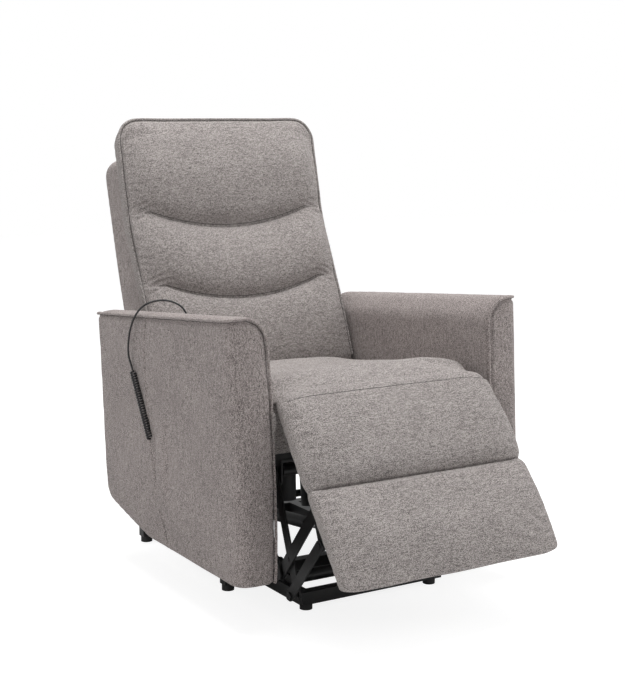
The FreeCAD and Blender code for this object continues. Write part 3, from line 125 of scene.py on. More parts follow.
def new_finish(name):
    """A bare finish, its surface shader, and the place on the chair as a thread."""
    finish = bpy.data.materials.new(name)
    finish.use_nodes = True
    tree = finish.node_tree
    shader = tree.nodes["Principled BSDF"]
    where = tree.nodes.new("ShaderNodeTexCoord")
    return finish, shader, Thread(tree, where.outputs["Object"])


floor_reach = 9
floor_mesh = bpy.data.meshes.new("studio_floor")
floor_mesh.from_pydata([(-floor_reach, -floor_reach, 0), (floor_reach, -floor_reach, 0),
                        (floor_reach, floor_reach, 0), (-floor_reach, floor_reach, 0)],
                       [], [(0, 1, 2, 3)])
floor = bpy.data.objects.new("studio_floor", floor_mesh)
bpy.context.scene.collection.objects.link(floor)
floor.location.z = -0.0005
paper, paper_shader, paper_place = new_finish("white_paper")
paper_shader.inputs["Base Color"].default_value = (0.86, 0.86, 0.86, 1.0)
paper_shader.inputs["Roughness"].default_value = 0.9
paper_shader.inputs["Specular IOR Level"].default_value = 0.0
glow = paper_place.make("Emission", {}, {"Color": (1, 1, 1, 1), "Strength": 1.38})
paper_path = paper.node_tree.nodes.new("ShaderNodeLightPath")
seen = Thread(paper.node_tree, paper_path.outputs["Is Camera Ray"])
lit = Thread(paper.node_tree, paper_shader.outputs["BSDF"])
white = seen.make("MixShader", {}, {0: seen * 0.62, 1: lit, 2: glow})
white.goes_to(paper.node_tree.nodes["Material Output"], "Surface")
floor_mesh.materials.append(paper)

world = bpy.data.worlds.new("studio")
bpy.context.scene.world = world
world.use_nodes = True
surround = world.node_tree.nodes["Background"]
path = world.node_tree.nodes.new("ShaderNodeLightPath")
surround.inputs["Color"].default_value = (1, 1, 1, 1)
direct = Thread(world.node_tree, path.outputs["Is Camera Ray"])
mirrored = Thread(world.node_tree, path.outputs["Is Glossy Ray"])
(direct * 0.55 + mirrored * 0.15 + 0.45).goes_to(surround, "Strength")

lamps_look_at = Vector((0, -0.1, 0.5))
for name, place, size, power in (("top_light", (0.2, 0.3, 3.4), 2.6, 103),
                                 ("fill_light", (2.2, -1.7, 1.5), 1.4, 21),
                                 ("side_light", (-3.0, 0.5, 1.7), 1.6, 13)):
    lamp = bpy.data.lights.new(name, "AREA")
    lamp.shape = "DISK"
    lamp.size = size
    lamp.energy = power
    holder = bpy.data.objects.new(name, lamp)
    bpy.context.scene.collection.objects.link(holder)
    holder.location = place
    holder.rotation_euler = (lamps_look_at - holder.location).to_track_quat("-Z", "Y").to_euler()


# Handset cord: a thin black round cord from the control box under the seat, up between
# the right arm and the seat, over the arm, and down to the top of the curly part.
def raised(height, shader, distance, strength=1.0):
    bump = height.make("Bump", {}, {"Height": height, "Strength": strength, "Distance": distance})
    bump.goes_to(shader, "Normal")


cord_black, cord_shader, cord_place = new_finish("cord_jacket")
cord_shader.inputs["Roughness"].default_value = 0.42
cord_tone = cord_place.grain(0.004, 3.0)
cord_tone.tints(cord_shader, (0.3, (0.011, 0.011, 0.012)), (0.7, (0.022, 0.022, 0.023)))
raised(cord_tone, cord_shader, 0.0002)
cord_round = 0.0022
cord_route = [(-0.128, 0.080, 0.262), (-0.130, 0.108, 0.263), (-0.152, 0.132, 0.266),
              (-0.186, 0.136, 0.268), (-0.222, 0.128, 0.276), (-0.250, 0.110, 0.292),
              (-0.268, 0.094, 0.316), (-0.274, 0.084, 0.348), (-0.274, 0.077, 0.388),
              (-0.274, 0.072, 0.432), (-0.275, 0.068, 0.480), (-0.275, 0.066, 0.528),
              (-0.276, 0.070, 0.574), (-0.278, 0.078, 0.604), (-0.286, 0.088, 0.626),
              (-0.304, 0.100, 0.638), (-0.326, 0.111, 0.642), (-0.349, 0.120, 0.638),
              (-0.368, 0.129, 0.627), (-0.381, 0.140, 0.604), (-0.386, 0.154, 0.573),
              (-0.386, 0.165, 0.540), (-0.3835, 0.171, 0.513), (-0.380, 0.167, 0.496),
              (-0.3795, 0.160, 0.484)]


def smooth_line(name, points):
    """A curve with the points as its control points and its two ends on the line."""
    curve = bpy.data.curves.new(name, "CURVE")
    curve.dimensions = "3D"
    spline = curve.splines.new("NURBS")
    spline.points.add(len(points) - 1)
    for spot, point in zip(spline.points, points):
        spot.co = (*point, 1.0)
    spline.order_u = 3
    spline.use_endpoint_u = True
    curve.resolution_u = 12
    piece = bpy.data.objects.new(name, curve)
    bpy.context.scene.collection.objects.link(piece)
    return piece


def line_points(piece):
    """The points along a curve that has no thickness yet."""
    bpy.context.view_layer.update()
    mesh = bpy.data.meshes.new_from_object(piece)
    return np.array([vertex.co for vertex in mesh.vertices])


def length_of(points):
    return float(np.linalg.norm(np.diff(points, axis=0), axis=1).sum())


handset_lead = smooth_line("handset_lead", cord_route)
lead_points = line_points(handset_lead)
handset_lead.data.bevel_depth = cord_round
handset_lead.data.bevel_resolution = 5
handset_lead.data.materials.append(cord_black)
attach(handset_lead, "chassis")
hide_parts("handset_cord")

# Curly part of the cord: the same cord wound in even coils, from the end of the straight
# part down to the handset's mouth in the pocket.
coil_top = np.array(cord_route[-1])
coil_foot = np.array((-0.3795, 0.073, 0.340))
coil_turns = 26.75
coil_radius = 0.0076 - cord_round
steps_in_turn = 16
coil_guide = smooth_line("coil_guide", [tuple(coil_top), tuple((coil_top + coil_foot) / 2),
                                        tuple(coil_foot)])
guide = line_points(coil_guide)
bpy.data.objects.remove(coil_guide)
axis = (guide[-1] - guide[0]) / np.linalg.norm(guide[-1] - guide[0])
aside = np.array((1.0, 0.0, 0.0))
other = np.cross(axis, aside)
lead_in = 2 * cord_round
start = guide[0] + axis * lead_in * 1.5
rise = float(np.linalg.norm(guide[-1] - start))
coil_points = [tuple(guide[0]), tuple(guide[0] + axis * lead_in)]
for step in range(int(coil_turns * steps_in_turn) + 1):
    turn = step / steps_in_turn
    angle = 2 * math.pi * turn
    wide = coil_radius * 1.01 * min(1.0, 0.06 + turn / 0.5)
    spot = start + axis * rise * turn / coil_turns
    coil_points.append(tuple(spot + wide * (aside * math.cos(angle) + other * math.sin(angle))))
for handset_side in (-0.3690, -0.3665):
    coil_points.append((handset_side, coil_points[-1][1], coil_points[-1][2]))
curl = smooth_line("handset_coil", coil_points)
curl.data.resolution_u = 3
curl_length = length_of(line_points(curl))
curl.data.bevel_depth = cord_round
curl.data.bevel_resolution = 3
curl.data.materials.append(cord_black)
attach(curl, "chassis")
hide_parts("handset_curl")


# Upholstery cloth: a warm mid-grey melange weave. Long pale and dark yarns run one way,
# with short flecks over them; the arms are cut with these yarns upright.
def woven_cloth(name, run, short, pale=1.06, warm=1.0):
    cloth, shader, place = new_finish(name)
    yarn = place.stretched(run)
    streak = yarn.grain(0.0018, 2.0)
    fleck = place.stretched(short).grain(0.0014, 1.0)
    dash = yarn.stretched((1.6, 1.6, 1.6)).grain(0.0090, 2.0, 0.7)
    patch = place.grain(0.11, 2.0)
    tone = fleck * 1.50 + streak * 0.58 + dash * 0.24 + patch * 0.12 - 0.72
    shades = ((0.26, 0.090, 0.080, 0.077), (0.42, 0.216, 0.196, 0.188),
              (0.55, 0.352, 0.323, 0.309), (0.74, 0.520, 0.480, 0.462))
    # pale scales the yarn colours and warm scales their green and blue; the copies below use them
    # for the cloth's own colour and also for painted shade and highlight.
    tone.tints(shader, *[(level, (pale * red, pale * green * warm, pale * blue * warm))
                         for level, red, green, blue in shades])
    shader.inputs["Roughness"].default_value = 0.92
    shader.inputs["Specular IOR Level"].default_value = 0.25
    shader.inputs["Sheen Weight"].default_value = 0.10
    shader.inputs["Sheen Roughness"].default_value = 0.5
    split = place.make("SeparateXYZ", {}, {0: place}).socket.node.outputs
    left, forward, up = [Thread(place.tree, split[way]) for way in "XYZ"]
    yarns = []
    for across in (left + forward, up + forward * 0.5):
        beat = across * 2400.0
        yarns.append(beat.make("Math", {"operation": "SINE"}, {0: beat}))
    raised(yarns[0] * yarns[1] * 0.5 + fleck * 1.3 + streak * 0.9, shader, 0.0011, 0.6)
    return cloth


cloth_across = woven_cloth("cloth_across", (0.22, 1.0, 1.0), (0.80, 1.25, 1.25), 1.06, 0.99)
# The upright copy, for the arms, the outer back and the pocket, is the same cloth tinted warmer
# and a little darker: painted warm shade of the upright faces.
cloth_upright_painted_warm_shade = woven_cloth("cloth_upright_painted_warm_shade", (1.0, 1.0, 0.22), (1.25, 1.25, 0.80), 1.04, 0.955)
# The back's piping copy is a little darker than the cloth around it: painted shade along the
# piping.
piping_across_painted_shade = woven_cloth("piping_across_painted_shade", (0.5, 1.0, 1.0), (0.8, 1.0, 1.0), 1.0)
# The arms' piping copy is a little lighter than the arms' cloth: a painted highlight on the
# rounded piping.
piping_upright_painted_highlight = woven_cloth("piping_upright_painted_highlight", (1.0, 1.0, 0.5), (1.0, 1.0, 0.8), 1.08, 0.955)

# Sewing thread: a darker grey spun polyester thread, which lies beside the piping and in the
# seams, pulled down into the cloth by its own tension. Its dark colour is partly the
# thread's own and partly painted shade of the narrow creases along the stitching.
dark_thread_crease_shade, thread_shader, thread_place = new_finish("sewing_thread_painted_shade")
thread_twist = thread_place.grain(0.0008, 2.0)
thread_twist.tints(thread_shader, (0.3, (0.026, 0.023, 0.022)), (0.7, (0.060, 0.054, 0.051)))
thread_shader.inputs["Roughness"].default_value = 0.85
thread_round = 0.0005
channel_thread_round = 0.0006


# Seat cushion: foam with a crowned cover, on the seat frame's springs. Its nose rolls over
# the front rail to the seam that meets the footrest, and its sides draw in beside the arms.
# Like most soft pieces it is made from the frame's own form, skinned again with small even
# faces; this one is then puffed as cloth over its filling and shaped.
def skin_of(node, name, size):
    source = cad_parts[node]
    piece = bpy.data.objects.new(name, source.data.copy())
    bpy.context.scene.collection.objects.link(piece)
    weld = piece.modifiers.new("weld", "WELD")
    weld.merge_threshold = 0.00005
    skin = piece.modifiers.new("skin", "REMESH")
    skin.mode = "VOXEL"
    skin.voxel_size = size
    fix_modifiers(piece)
    piece.data.materials.clear()
    return piece


def fix_modifiers(piece):
    """Leaves the piece as its modifiers show it, with none of them on it."""
    bpy.context.view_layer.update()
    shown = piece.evaluated_get(bpy.context.evaluated_depsgraph_get())
    mesh = bpy.data.meshes.new_from_object(shown)
    piece.modifiers.clear()
    old = piece.data
    piece.data = mesh
    bpy.data.meshes.remove(old)


def read_out(piece, what):
    numbers = np.zeros(len(piece.data.vertices) * 3, np.float32)
    piece.data.vertices.foreach_get(what, numbers)
    return numbers.reshape(-1, 3).astype(float)


def places(piece):
    return read_out(piece, "co")


def facings(piece):
    return read_out(piece, "normal")


def set_places(piece, spots):
    piece.data.vertices.foreach_set("co", spots.astype(np.float32).ravel())
    piece.data.update()


def eased(piece, rounds):
    smooth = piece.modifiers.new("ease", "SMOOTH")
    smooth.factor = 0.5
    smooth.iterations = rounds
    fix_modifiers(piece)


def finer(piece):
    finer_skin = piece.modifiers.new("finer", "SUBSURF")
    finer_skin.levels = 1
    finer_skin.render_levels = 1
    fix_modifiers(piece)


def puffed(piece, held, pressure, cap, slack):
    """Cloth over air: held is 1 where the cover is sewn or glued down, and 0 where it is free."""
    rest = places(piece)
    set_places(piece, rest - facings(piece) * (slack * (1 - held))[:, None])
    group = piece.vertex_groups.new(name="held")
    levels = np.round(held, 1)
    for level in np.unique(levels):
        if level > 0:
            group.add([int(n) for n in np.nonzero(levels == level)[0]], float(level), "REPLACE")
    cover = piece.modifiers.new("cover", "CLOTH")
    cover.settings.quality = 4
    cover.settings.mass = 0.35
    cover.settings.tension_stiffness = 12
    cover.settings.compression_stiffness = 12
    cover.settings.shear_stiffness = 6
    cover.settings.bending_stiffness = 1.5
    cover.settings.use_pressure = True
    cover.settings.uniform_pressure_force = pressure
    cover.settings.effector_weights.gravity = 0.0
    cover.settings.vertex_group_mass = "held"
    scene = bpy.context.scene
    for frame_number in range(1, 17):
        scene.frame_set(frame_number)
    fix_modifiers(piece)
    scene.frame_set(1)
    moved = places(piece) - rest
    keep = np.minimum(1.0, cap / np.maximum(np.linalg.norm(moved, axis=1), 1e-9))
    set_places(piece, rest + moved * keep[:, None])
    piece.vertex_groups.clear()


def ramp(value, low, high):
    share = np.clip((value - low) / (high - low), 0.0, 1.0)
    return share * share * (3 - 2 * share)


def wavy(spots, size, seed):
    """Smooth unevenness from -1 to 1 over the piece."""
    shift = Vector((seed * 3.7, seed * 1.3, seed * 2.1))
    return np.array([noise.noise(Vector(spot) / size + shift) for spot in spots])


def dressed(piece, cloth, body, nodes):
    for face in piece.data.polygons:
        face.use_smooth = True
    piece.data.materials.append(cloth)
    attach(piece, body)
    if nodes:
        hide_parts(*nodes)
    return piece


seat = skin_of("seat_cushion", "seat_top", 0.0065)
spots = places(seat)
held = np.maximum.reduce([ramp(-spots[:, 2], -0.385, -0.365),
                          ramp(np.abs(spots[:, 0]), 0.257, 0.266) * 0.6,
                          ramp(spots[:, 1], 0.215, 0.232),
                          ramp(-spots[:, 1], 0.285, 0.297) * 0.7])
puffed(seat, held, 3.0, 0.007, 0.002)
eased(seat, 3)
finer(seat)
spots = places(seat)
uneven = wavy(spots, 0.09, 3) * 0.0016 * ramp(spots[:, 2], 0.42, 0.46)
far = np.abs(spots[:, 0])
topside = ramp(spots[:, 2], 0.44, 0.475)
corner = ramp(far, 0.14, 0.235) * ramp(-spots[:, 1], 0.195, 0.262) * topside
spots = spots + facings(seat) * uneven[:, None]
far = np.abs(spots[:, 0])
spots[:, 2] += 0.008 * corner * ramp(-far, -0.266, -0.246)
topside = ramp(spots[:, 2], 0.44, 0.475)
side_fill = ramp(far, 0.10, 0.20) * ramp(-far, -0.262, -0.235)
spots[:, 2] += 0.004 * side_fill * ramp(-spots[:, 1], -0.12, 0.05) * topside * (1 - corner)
set_places(seat, spots)
dressed(seat, cloth_across, "chassis", ["seat_cushion"])

# Seat side covers: flaps of the same cloth, thinly lined, that close the sides below the
# cushion's nose. They are sewn to the cushion's cover and hang in shallow folds.
for hand in ("left", "right"):
    flap = skin_of("seat_side_panel_" + hand, "seat_flap_" + hand, 0.004)
    eased(flap, 4)
    spots = places(flap)
    spots[:, 2] += (0.024 * ramp(spots[:, 2], 0.38, 0.43)
                    - 0.020 * ramp(-spots[:, 2], -0.42, -0.36))
    spots[:, 1] += 0.026 * ramp(-spots[:, 1], 0.16, 0.28)
    set_places(flap, spots)
    fold_run = (spots[:, 1] * 0.6 + spots[:, 2]) * 2 * math.pi / 0.034
    fold = np.sin(fold_run + wavy(spots, 0.05, 21) * 1.5)
    set_places(flap, spots + facings(flap) * (fold * 0.0011)[:, None])
    dressed(flap, cloth_across, "chassis", ["seat_side_panel_" + hand])


# Arms: padded frames under one cover. Piping runs along the outer edge of the top, across
# the front and down its inner edge, and an upright seam joins two panels outside. The
# piping is cord in a strip of the same cloth, sewn into the seam.
def even_line(points, step):
    """The same line with its points a step apart."""
    points = np.array([tuple(point) for point in points], float)
    run = np.concatenate([[0.0], np.cumsum(np.linalg.norm(np.diff(points, axis=0), axis=1))])
    marks = np.linspace(0.0, run[-1], max(2, int(run[-1] / step)))
    return np.stack([np.interp(marks, run, points[:, axis]) for axis in range(3)], axis=1)


def turned_line(points, radii):
    """Straight runs between points, joined by an arc of its radius at each inner point."""
    points = [Vector(point) for point in points]
    line = [points[0]]
    for before, corner, after, radius in zip(points, points[1:], points[2:], radii):
        first = (corner - before).normalized()
        second = (after - corner).normalized()
        reach = radius * math.tan(first.angle(second) / 2)
        enter = corner - first * reach
        leave = corner + second * reach
        inward = ((enter + leave) / 2 - corner).normalized()
        centre = corner + inward * (radius / math.cos(first.angle(second) / 2))
        for share in np.linspace(0.0, 1.0, 16):
            spoke = (enter - centre).lerp(leave - centre, float(share))
            line.append(centre + spoke.normalized() * radius)
    line.append(points[-1])
    return even_line(line, 0.003)


def surface_of(piece):
    bpy.context.view_layer.update()
    return BVHTree.FromObject(piece, bpy.context.evaluated_depsgraph_get())


def evened(laid, rounds):
    """The line with each of its inner points drawn towards the two beside it."""
    line = np.array([tuple(spot) for spot in laid])
    for each in range(rounds):
        line[1:-1] = line[1:-1] * 0.5 + (line[:-2] + line[2:]) * 0.25
    return line


def hugged(line, piece, proud, rounds=8):
    """The line laid on a piece's surface, proud of it by a set height, and evened out."""
    surface = surface_of(piece)
    laid = []
    for spot in line:
        near, facing = surface.find_nearest(Vector(spot))[:2]
        laid.append(near + facing * proud)
    return evened(laid, rounds)


def pressed(piece, line, depth):
    """Draws the cover in on both sides of a line of piping, where it is stitched."""
    tree = KDTree(len(line))
    for number, spot in enumerate(line):
        tree.insert(Vector(spot), number)
    tree.balance()
    spots = places(piece)
    far = np.array([tree.find(Vector(spot))[2] for spot in spots])
    dent = depth * np.exp(-((far - 0.0065) / 0.0032) ** 2)
    set_places(piece, spots - facings(piece) * dent[:, None])


def beside(line, piece, away):
    """A line that runs on a piece's surface beside another one."""
    surface = surface_of(piece)
    laid = []
    for spot, run in zip(line, np.gradient(line, axis=0)):
        facing = surface.find_nearest(Vector(spot))[1]
        aside = Vector(run).cross(facing).normalized()
        near, facing = surface.find_nearest(Vector(spot) + aside * away)[:2]
        laid.append(near + facing * 0.0001)
    return evened(laid, 3)


def piping(name, line, radius, cloth, body, nodes):
    curve = bpy.data.curves.new(name, "CURVE")
    curve.dimensions = "3D"
    spline = curve.splines.new("POLY")
    spline.points.add(len(line) - 1)
    for spot, point in zip(spline.points, line):
        spot.co = (*point, 1.0)
    curve.bevel_depth = radius
    curve.bevel_resolution = 3
    curve.use_fill_caps = True
    holder = bpy.data.objects.new(name + "_line", curve)
    bpy.context.scene.collection.objects.link(holder)
    bpy.context.view_layer.update()
    shown = holder.evaluated_get(bpy.context.evaluated_depsgraph_get())
    mesh = bpy.data.meshes.new_from_object(shown)
    bpy.data.objects.remove(holder)
    mesh.materials.clear()
    cord_piece = bpy.data.objects.new(name, mesh)
    bpy.context.scene.collection.objects.link(cord_piece)
    return dressed(cord_piece, cloth, body, nodes)


def panel_seam(height):
    """How far back the upright seam outside an arm stands at a height."""
    return np.interp(height, [0.097, 0.203, 0.333, 0.511, 0.627],
                     [0.009, 0.046, 0.082, 0.105, 0.105])


welt_round = 0.0034
stitch_places = (-0.0052, 0.0052)
for hand, side, front_full in (("left", 1, 0.006), ("right", -1, 0.042)):
    arm = skin_of("arm_" + hand, "arm_cover_" + hand, 0.006)
    spots = places(arm)
    ways = facings(arm)
    across = side * spots[:, 0]
    inside = ramp(spots[:, 1], -0.30, -0.20) * ramp(-spots[:, 1], -0.36, -0.28)
    inside *= ramp(spots[:, 2], 0.12, 0.22) * ramp(-spots[:, 2], -0.62, -0.54)
    crown = 0.0045 * inside * ramp(across, 0.355, 0.369)
    top = ramp(ways[:, 2], 0.6, 0.95)
    middle = np.clip(1 - ((across - 0.326) / 0.046) ** 2, 0, 1)
    crown += 0.006 * top * middle * ramp(spots[:, 2], 0.55, 0.57)
    height = np.clip((spots[:, 2] - 0.10) / 0.49, 0, 1)
    front = ramp(-ways[:, 1], 0.25, 0.9)
    crown += (front_full * height * (1 - height)
              + 0.002 * middle * ramp(height, 0.0, 0.1)) * front
    set_places(arm, spots + ways * crown[:, None])
    eased(arm, 3)
    finer(arm)
    spots = places(arm)
    across = side * spots[:, 0]
    outside = ramp(across, 0.36, 0.369)
    gap = spots[:, 1] - panel_seam(spots[:, 2])
    seam = (0.0008 * np.exp(-(np.abs(gap) - 0.007) ** 2 / 0.004 ** 2)
            - 0.0034 * np.exp(-(gap / 0.0028) ** 2))
    uneven = wavy(spots, 0.12, 5 + side) * 0.0014 * ramp(across, 0.34, 0.368)
    set_places(arm, spots + facings(arm) * (seam * outside + uneven)[:, None])
    welt_line = turned_line([(side * 0.370, 0.376, 0.5842), (side * 0.370, -0.285, 0.646),
                             (side * 0.282, -0.285, 0.646), (side * 0.282, -0.3189, 0.099)],
                            [0.035, 0.052])
    welt_line = hugged(welt_line, arm, welt_round)
    pressed(arm, welt_line, 0.0024)
    dressed(arm, cloth_upright_painted_warm_shade, "chassis", ["arm_" + hand])
    # Dark thread along the outer seam and beside the piping: real stitching with painted shade of
    # its crease.
    seam_line = [(side * 0.3705, float(panel_seam(z)), z) for z in np.linspace(0.104, 0.600, 120)]
    piping("arm_seam_" + hand, hugged(seam_line, arm, 0.0001, 4), thread_round, dark_thread_crease_shade,
           "chassis", [])
    # The piping takes the lighter copy of the cloth, a painted highlight.
    piping("arm_piping_" + hand, welt_line, welt_round, piping_upright_painted_highlight, "chassis",
           ["arm_welt_" + hand])
    for number, away in enumerate(stitch_places):
        piping("arm_stitch_%s_%d" % (hand, number), beside(welt_line, arm, away), thread_round,
               dark_thread_crease_shade, "chassis", [])


# Footrest: an upper and a lower foam pad under one cover, on a plywood board. A deep
# channel between the pads is sewn down to the board.
def down_and_out(spots):
    """Places in the footrest's own frame: down its face from the knee, and out of its face."""
    y = spots[:, 1] - knee[0]
    z = spots[:, 2] - knee[1]
    return (-y * math.sin(tilt) - z * math.cos(tilt),
            -y * math.cos(tilt) + z * math.sin(tilt))


def pillowed(gap, above, below):
    """How far a sewn line draws the cover in: two round shoulders that meet in a crease."""
    reach = np.where(gap > 0, above, below)
    share = np.clip(np.abs(gap) / reach, 0.0, 1.0)
    return 1 - np.sqrt(1 - (1 - share) ** 2)


knee = (-0.318, 0.462)
tilt = math.radians(38)
way_down = Vector((0.0, -math.sin(tilt), -math.cos(tilt)))
way_out = Vector((0.0, -math.cos(tilt), math.sin(tilt)))
pad_half = 0.2705
channel_at = 0.181
legs = skin_of("footrest_pad", "footrest_cover", 0.0055)
spots = places(legs)
down, out = down_and_out(spots)
held = np.maximum.reduce([ramp(-out, 0.0, 0.012), ramp(np.abs(spots[:, 0]), 0.256, 0.268) * 0.7,
                          np.exp(-((down - channel_at) / 0.008) ** 2),
                          ramp(-down, -0.03, -0.005) * 0.9])
puffed(legs, held, 3.5, 0.008, 0.002)
eased(legs, 2)
finer(legs)
spots = places(legs)
down, out = down_and_out(spots)
face = ramp(out, -0.014, -0.002)
pull = (channel_at - down) * np.exp(-((channel_at - down) / 0.0034) ** 2) * face
spots += np.array(way_down) * pull[:, None]
upper = ramp(-down, -0.110, -0.005)
round_off = np.clip((np.abs(spots[:, 0]) - 0.205) / (pad_half - 0.205), 0, 1)
spots -= np.array(way_out) * (0.011 * upper * (1 - np.sqrt(1 - round_off ** 2)))[:, None]
spots[:, 0] *= 1 - 0.004 * upper * round_off ** 2
drawn_in = np.exp(-((down - channel_at) / 0.010) ** 2) * ramp(out, -0.045, -0.015)
spots[:, 0] *= 1 - 0.013 * drawn_in
lower_end = ramp(down, 0.335, 0.392)
corner = np.clip((np.abs(spots[:, 0]) - 0.225) / (pad_half - 0.225), 0, 1)
spots -= np.array(way_down) * (0.009 * lower_end * (1 - np.sqrt(1 - corner ** 2)))[:, None]
set_places(legs, spots)
down, out = down_and_out(spots)
along = spots[:, 0]
far = np.abs(along)
edge = ramp(-far, -0.270, -0.225)
channel = -0.018 * pillowed(channel_at - down, 0.036, 0.018) * (0.30 + 0.70 * edge)
pucker = 0.0009 * np.sin(along * 2 * math.pi / 0.024 + 2.2 * np.sin(along * 21))
pucker *= np.exp(-np.abs(down - channel_at) / 0.022)
sides = 0.0010 * np.sin(down * 2 * math.pi / 0.021 + 1.9 * np.sin(down * 31))
sides *= ramp(far, 0.225, 0.245) * ramp(-far, -0.266, -0.25)
uneven = wavy(spots, 0.10, 8) * 0.0016
shape = (channel + pucker + sides) * face + uneven
set_places(legs, spots + facings(legs) * shape[:, None])
surface_of_legs = surface_of(legs)
knee_middle = Vector((0.0, *knee))
sewn_line = []
for x in np.linspace(-0.258, 0.258, 130):
    above = knee_middle + Vector((float(x), 0.0, 0.0)) + way_down * channel_at + way_out * 0.10
    sewn_line.append(surface_of_legs.ray_cast(above, -way_out)[0])
# Dark thread in the channel: real stitching with painted shade of the channel's crease.
piping("footrest_stitch", sewn_line, channel_thread_round, dark_thread_crease_shade, "footrest", [])
dressed(legs, cloth_across, "footrest", ["footrest_pad"])

# Knee roll: the end of the footrest's cover, which rolls from its top seam to the seat's
# nose and closes the gap between them. It is cloth with a thin wadding, sewn along both
# edges, and it moves with the footrest.
seat_surface = surface_of(seat)
roll_half = 0.2685
roll_foot = 0.024
roll_wadding = 0.0035
seam_at = 0.62
profile_steps = 18
outward = Vector((0.0, -0.55, 0.83))
columns = []
seam_line = []
for share in np.concatenate([np.linspace(-1, -0.9, 9), np.linspace(-0.88, 0.88, 60),
                             np.linspace(0.9, 1, 9)]):
    x = float(share) * roll_half
    corner = 1 - math.sqrt(max(0.0, 1 - (max(0.0, abs(float(share)) - 0.80) / 0.20) ** 2))
    probe = Vector((x, *knee)) + way_down * roll_foot + way_out * (0.020 - 0.022 * corner)
    lower, facing = surface_of_legs.find_nearest(probe)[:2]
    lower.x = x
    rising = (-way_down + facing * way_down.dot(facing)).normalized()
    lower = lower - facing * 0.0006
    upper = seat_surface.find_nearest(Vector((x * 0.90, -0.296, 0.512)))[0]
    upper = Vector((x * (0.995 - 0.012 * corner), upper.y, upper.z + 0.0003 - 0.015 * corner))
    reach = (upper - lower).length
    low_bend = lower + rising * reach * 0.42
    high_bend = upper + Vector((0.0, -0.97, -0.24)) * reach * (0.36 - 0.10 * corner)
    profile = []
    for step in range(profile_steps + 1):
        t = step / profile_steps
        spot = lower * (1 - t) ** 3 + low_bend * (3 * t * (1 - t) ** 2)
        spot = spot + high_bend * (3 * t * t * (1 - t)) + upper * t ** 3
        profile.append(spot - outward * (0.0014 * math.exp(-((t - seam_at) / 0.05) ** 2)))
        if step == round(profile_steps * seam_at):
            seam_line.append(profile[-1] + outward * 0.0002)
    inner = [spot - outward * roll_wadding for spot in reversed(profile)]
    columns.append(profile + inner)
ring = len(columns[0])
corners = [tuple(spot) for column in columns for spot in column]
faces = []
for number in range(len(columns) - 1):
    for step in range(ring):
        here = number * ring + step
        after = number * ring + (step + 1) % ring
        faces.append((here, after, after + ring, here + ring))
faces.append(tuple(reversed(range(ring))))
faces.append(tuple((len(columns) - 1) * ring + step for step in range(ring)))
roll_mesh = bpy.data.meshes.new("knee_roll")
roll_mesh.from_pydata(corners, [], faces)
roll = bpy.data.objects.new("knee_roll", roll_mesh)
bpy.context.scene.collection.objects.link(roll)
dressed(roll, cloth_across, "footrest", [])
# Dark thread on the roll's seam: stitching with painted shade of its crease.
knee_stitch = piping("knee_stitch", seam_line, channel_thread_round, dark_thread_crease_shade, "footrest", [])
for piece in (roll, knee_stitch):
    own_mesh(piece)


# Back cushion: three pillows of fibre in one cover, one above the other. The channels
# between them are sewn to the inner back, dip in the middle, and end in short folds beside
# the piping.
def lean_at(height):
    """How far back the cushion's face stands at a height."""
    return np.interp(height, [0.443, 0.609, 0.779, 0.998], [0.240, 0.305, 0.388, 0.442])


def smile(along, middle):
    """The height of a channel, from its height in the middle of the back."""
    far = np.abs(along)
    return middle + 0.038 * np.minimum(1.0, far / 0.215) ** 2 - 0.006 * ramp(far, 0.220, 0.262)


back_channels = (0.609, 0.779)
back = skin_of("back_cushion", "back_pillows", 0.0055)
spots = places(back)
behind = spots[:, 1] - lean_at(spots[:, 2])
held = np.maximum(ramp(behind, 0.004, 0.016), ramp(np.abs(spots[:, 0]), 0.258, 0.268))
for middle in back_channels:
    gap = spots[:, 2] - smile(spots[:, 0], middle)
    held = np.maximum(held, np.exp(-(gap / 0.008) ** 2))
puffed(back, held, 3.5, 0.012, 0.003)
eased(back, 2)
finer(back)
spots = places(back)
face = ramp(-(spots[:, 1] - lean_at(spots[:, 2])), -0.012, 0.004)
for middle in back_channels:
    gap = spots[:, 2] - smile(spots[:, 0], middle)
    spots[:, 2] -= gap * np.exp(-(gap / 0.0036) ** 2) * face
set_places(back, spots)
far = np.abs(spots[:, 0])
shape = wavy(spots, 0.12, 11) * 0.0016 * face
for middle in back_channels:
    gap = spots[:, 2] - smile(spots[:, 0], middle)
    edge = ramp(-far, -0.262, -0.180)
    shape -= 0.018 * pillowed(gap, 0.046, 0.020) * (0.10 + 0.90 * edge) * face
    ends = ramp(far, 0.175, 0.225) * ramp(-far, -0.270, -0.255)
    fold_run = (gap + 0.30 * (far - 0.225)) * 2 * math.pi / 0.014
    fold = np.sin(fold_run + wavy(spots, 0.03, 31))
    shape += 0.0015 * fold * np.exp(-((gap - 0.004) / 0.024) ** 2) * ends * face
gather = np.sin(spots[:, 2] * 2 * math.pi / 0.019 + 2.4 * np.sin(spots[:, 2] * 37))
shape += 0.0007 * gather * ramp(far, 0.232, 0.262) * face
set_places(back, spots + facings(back) * shape[:, None])
surface_of_back = surface_of(back)
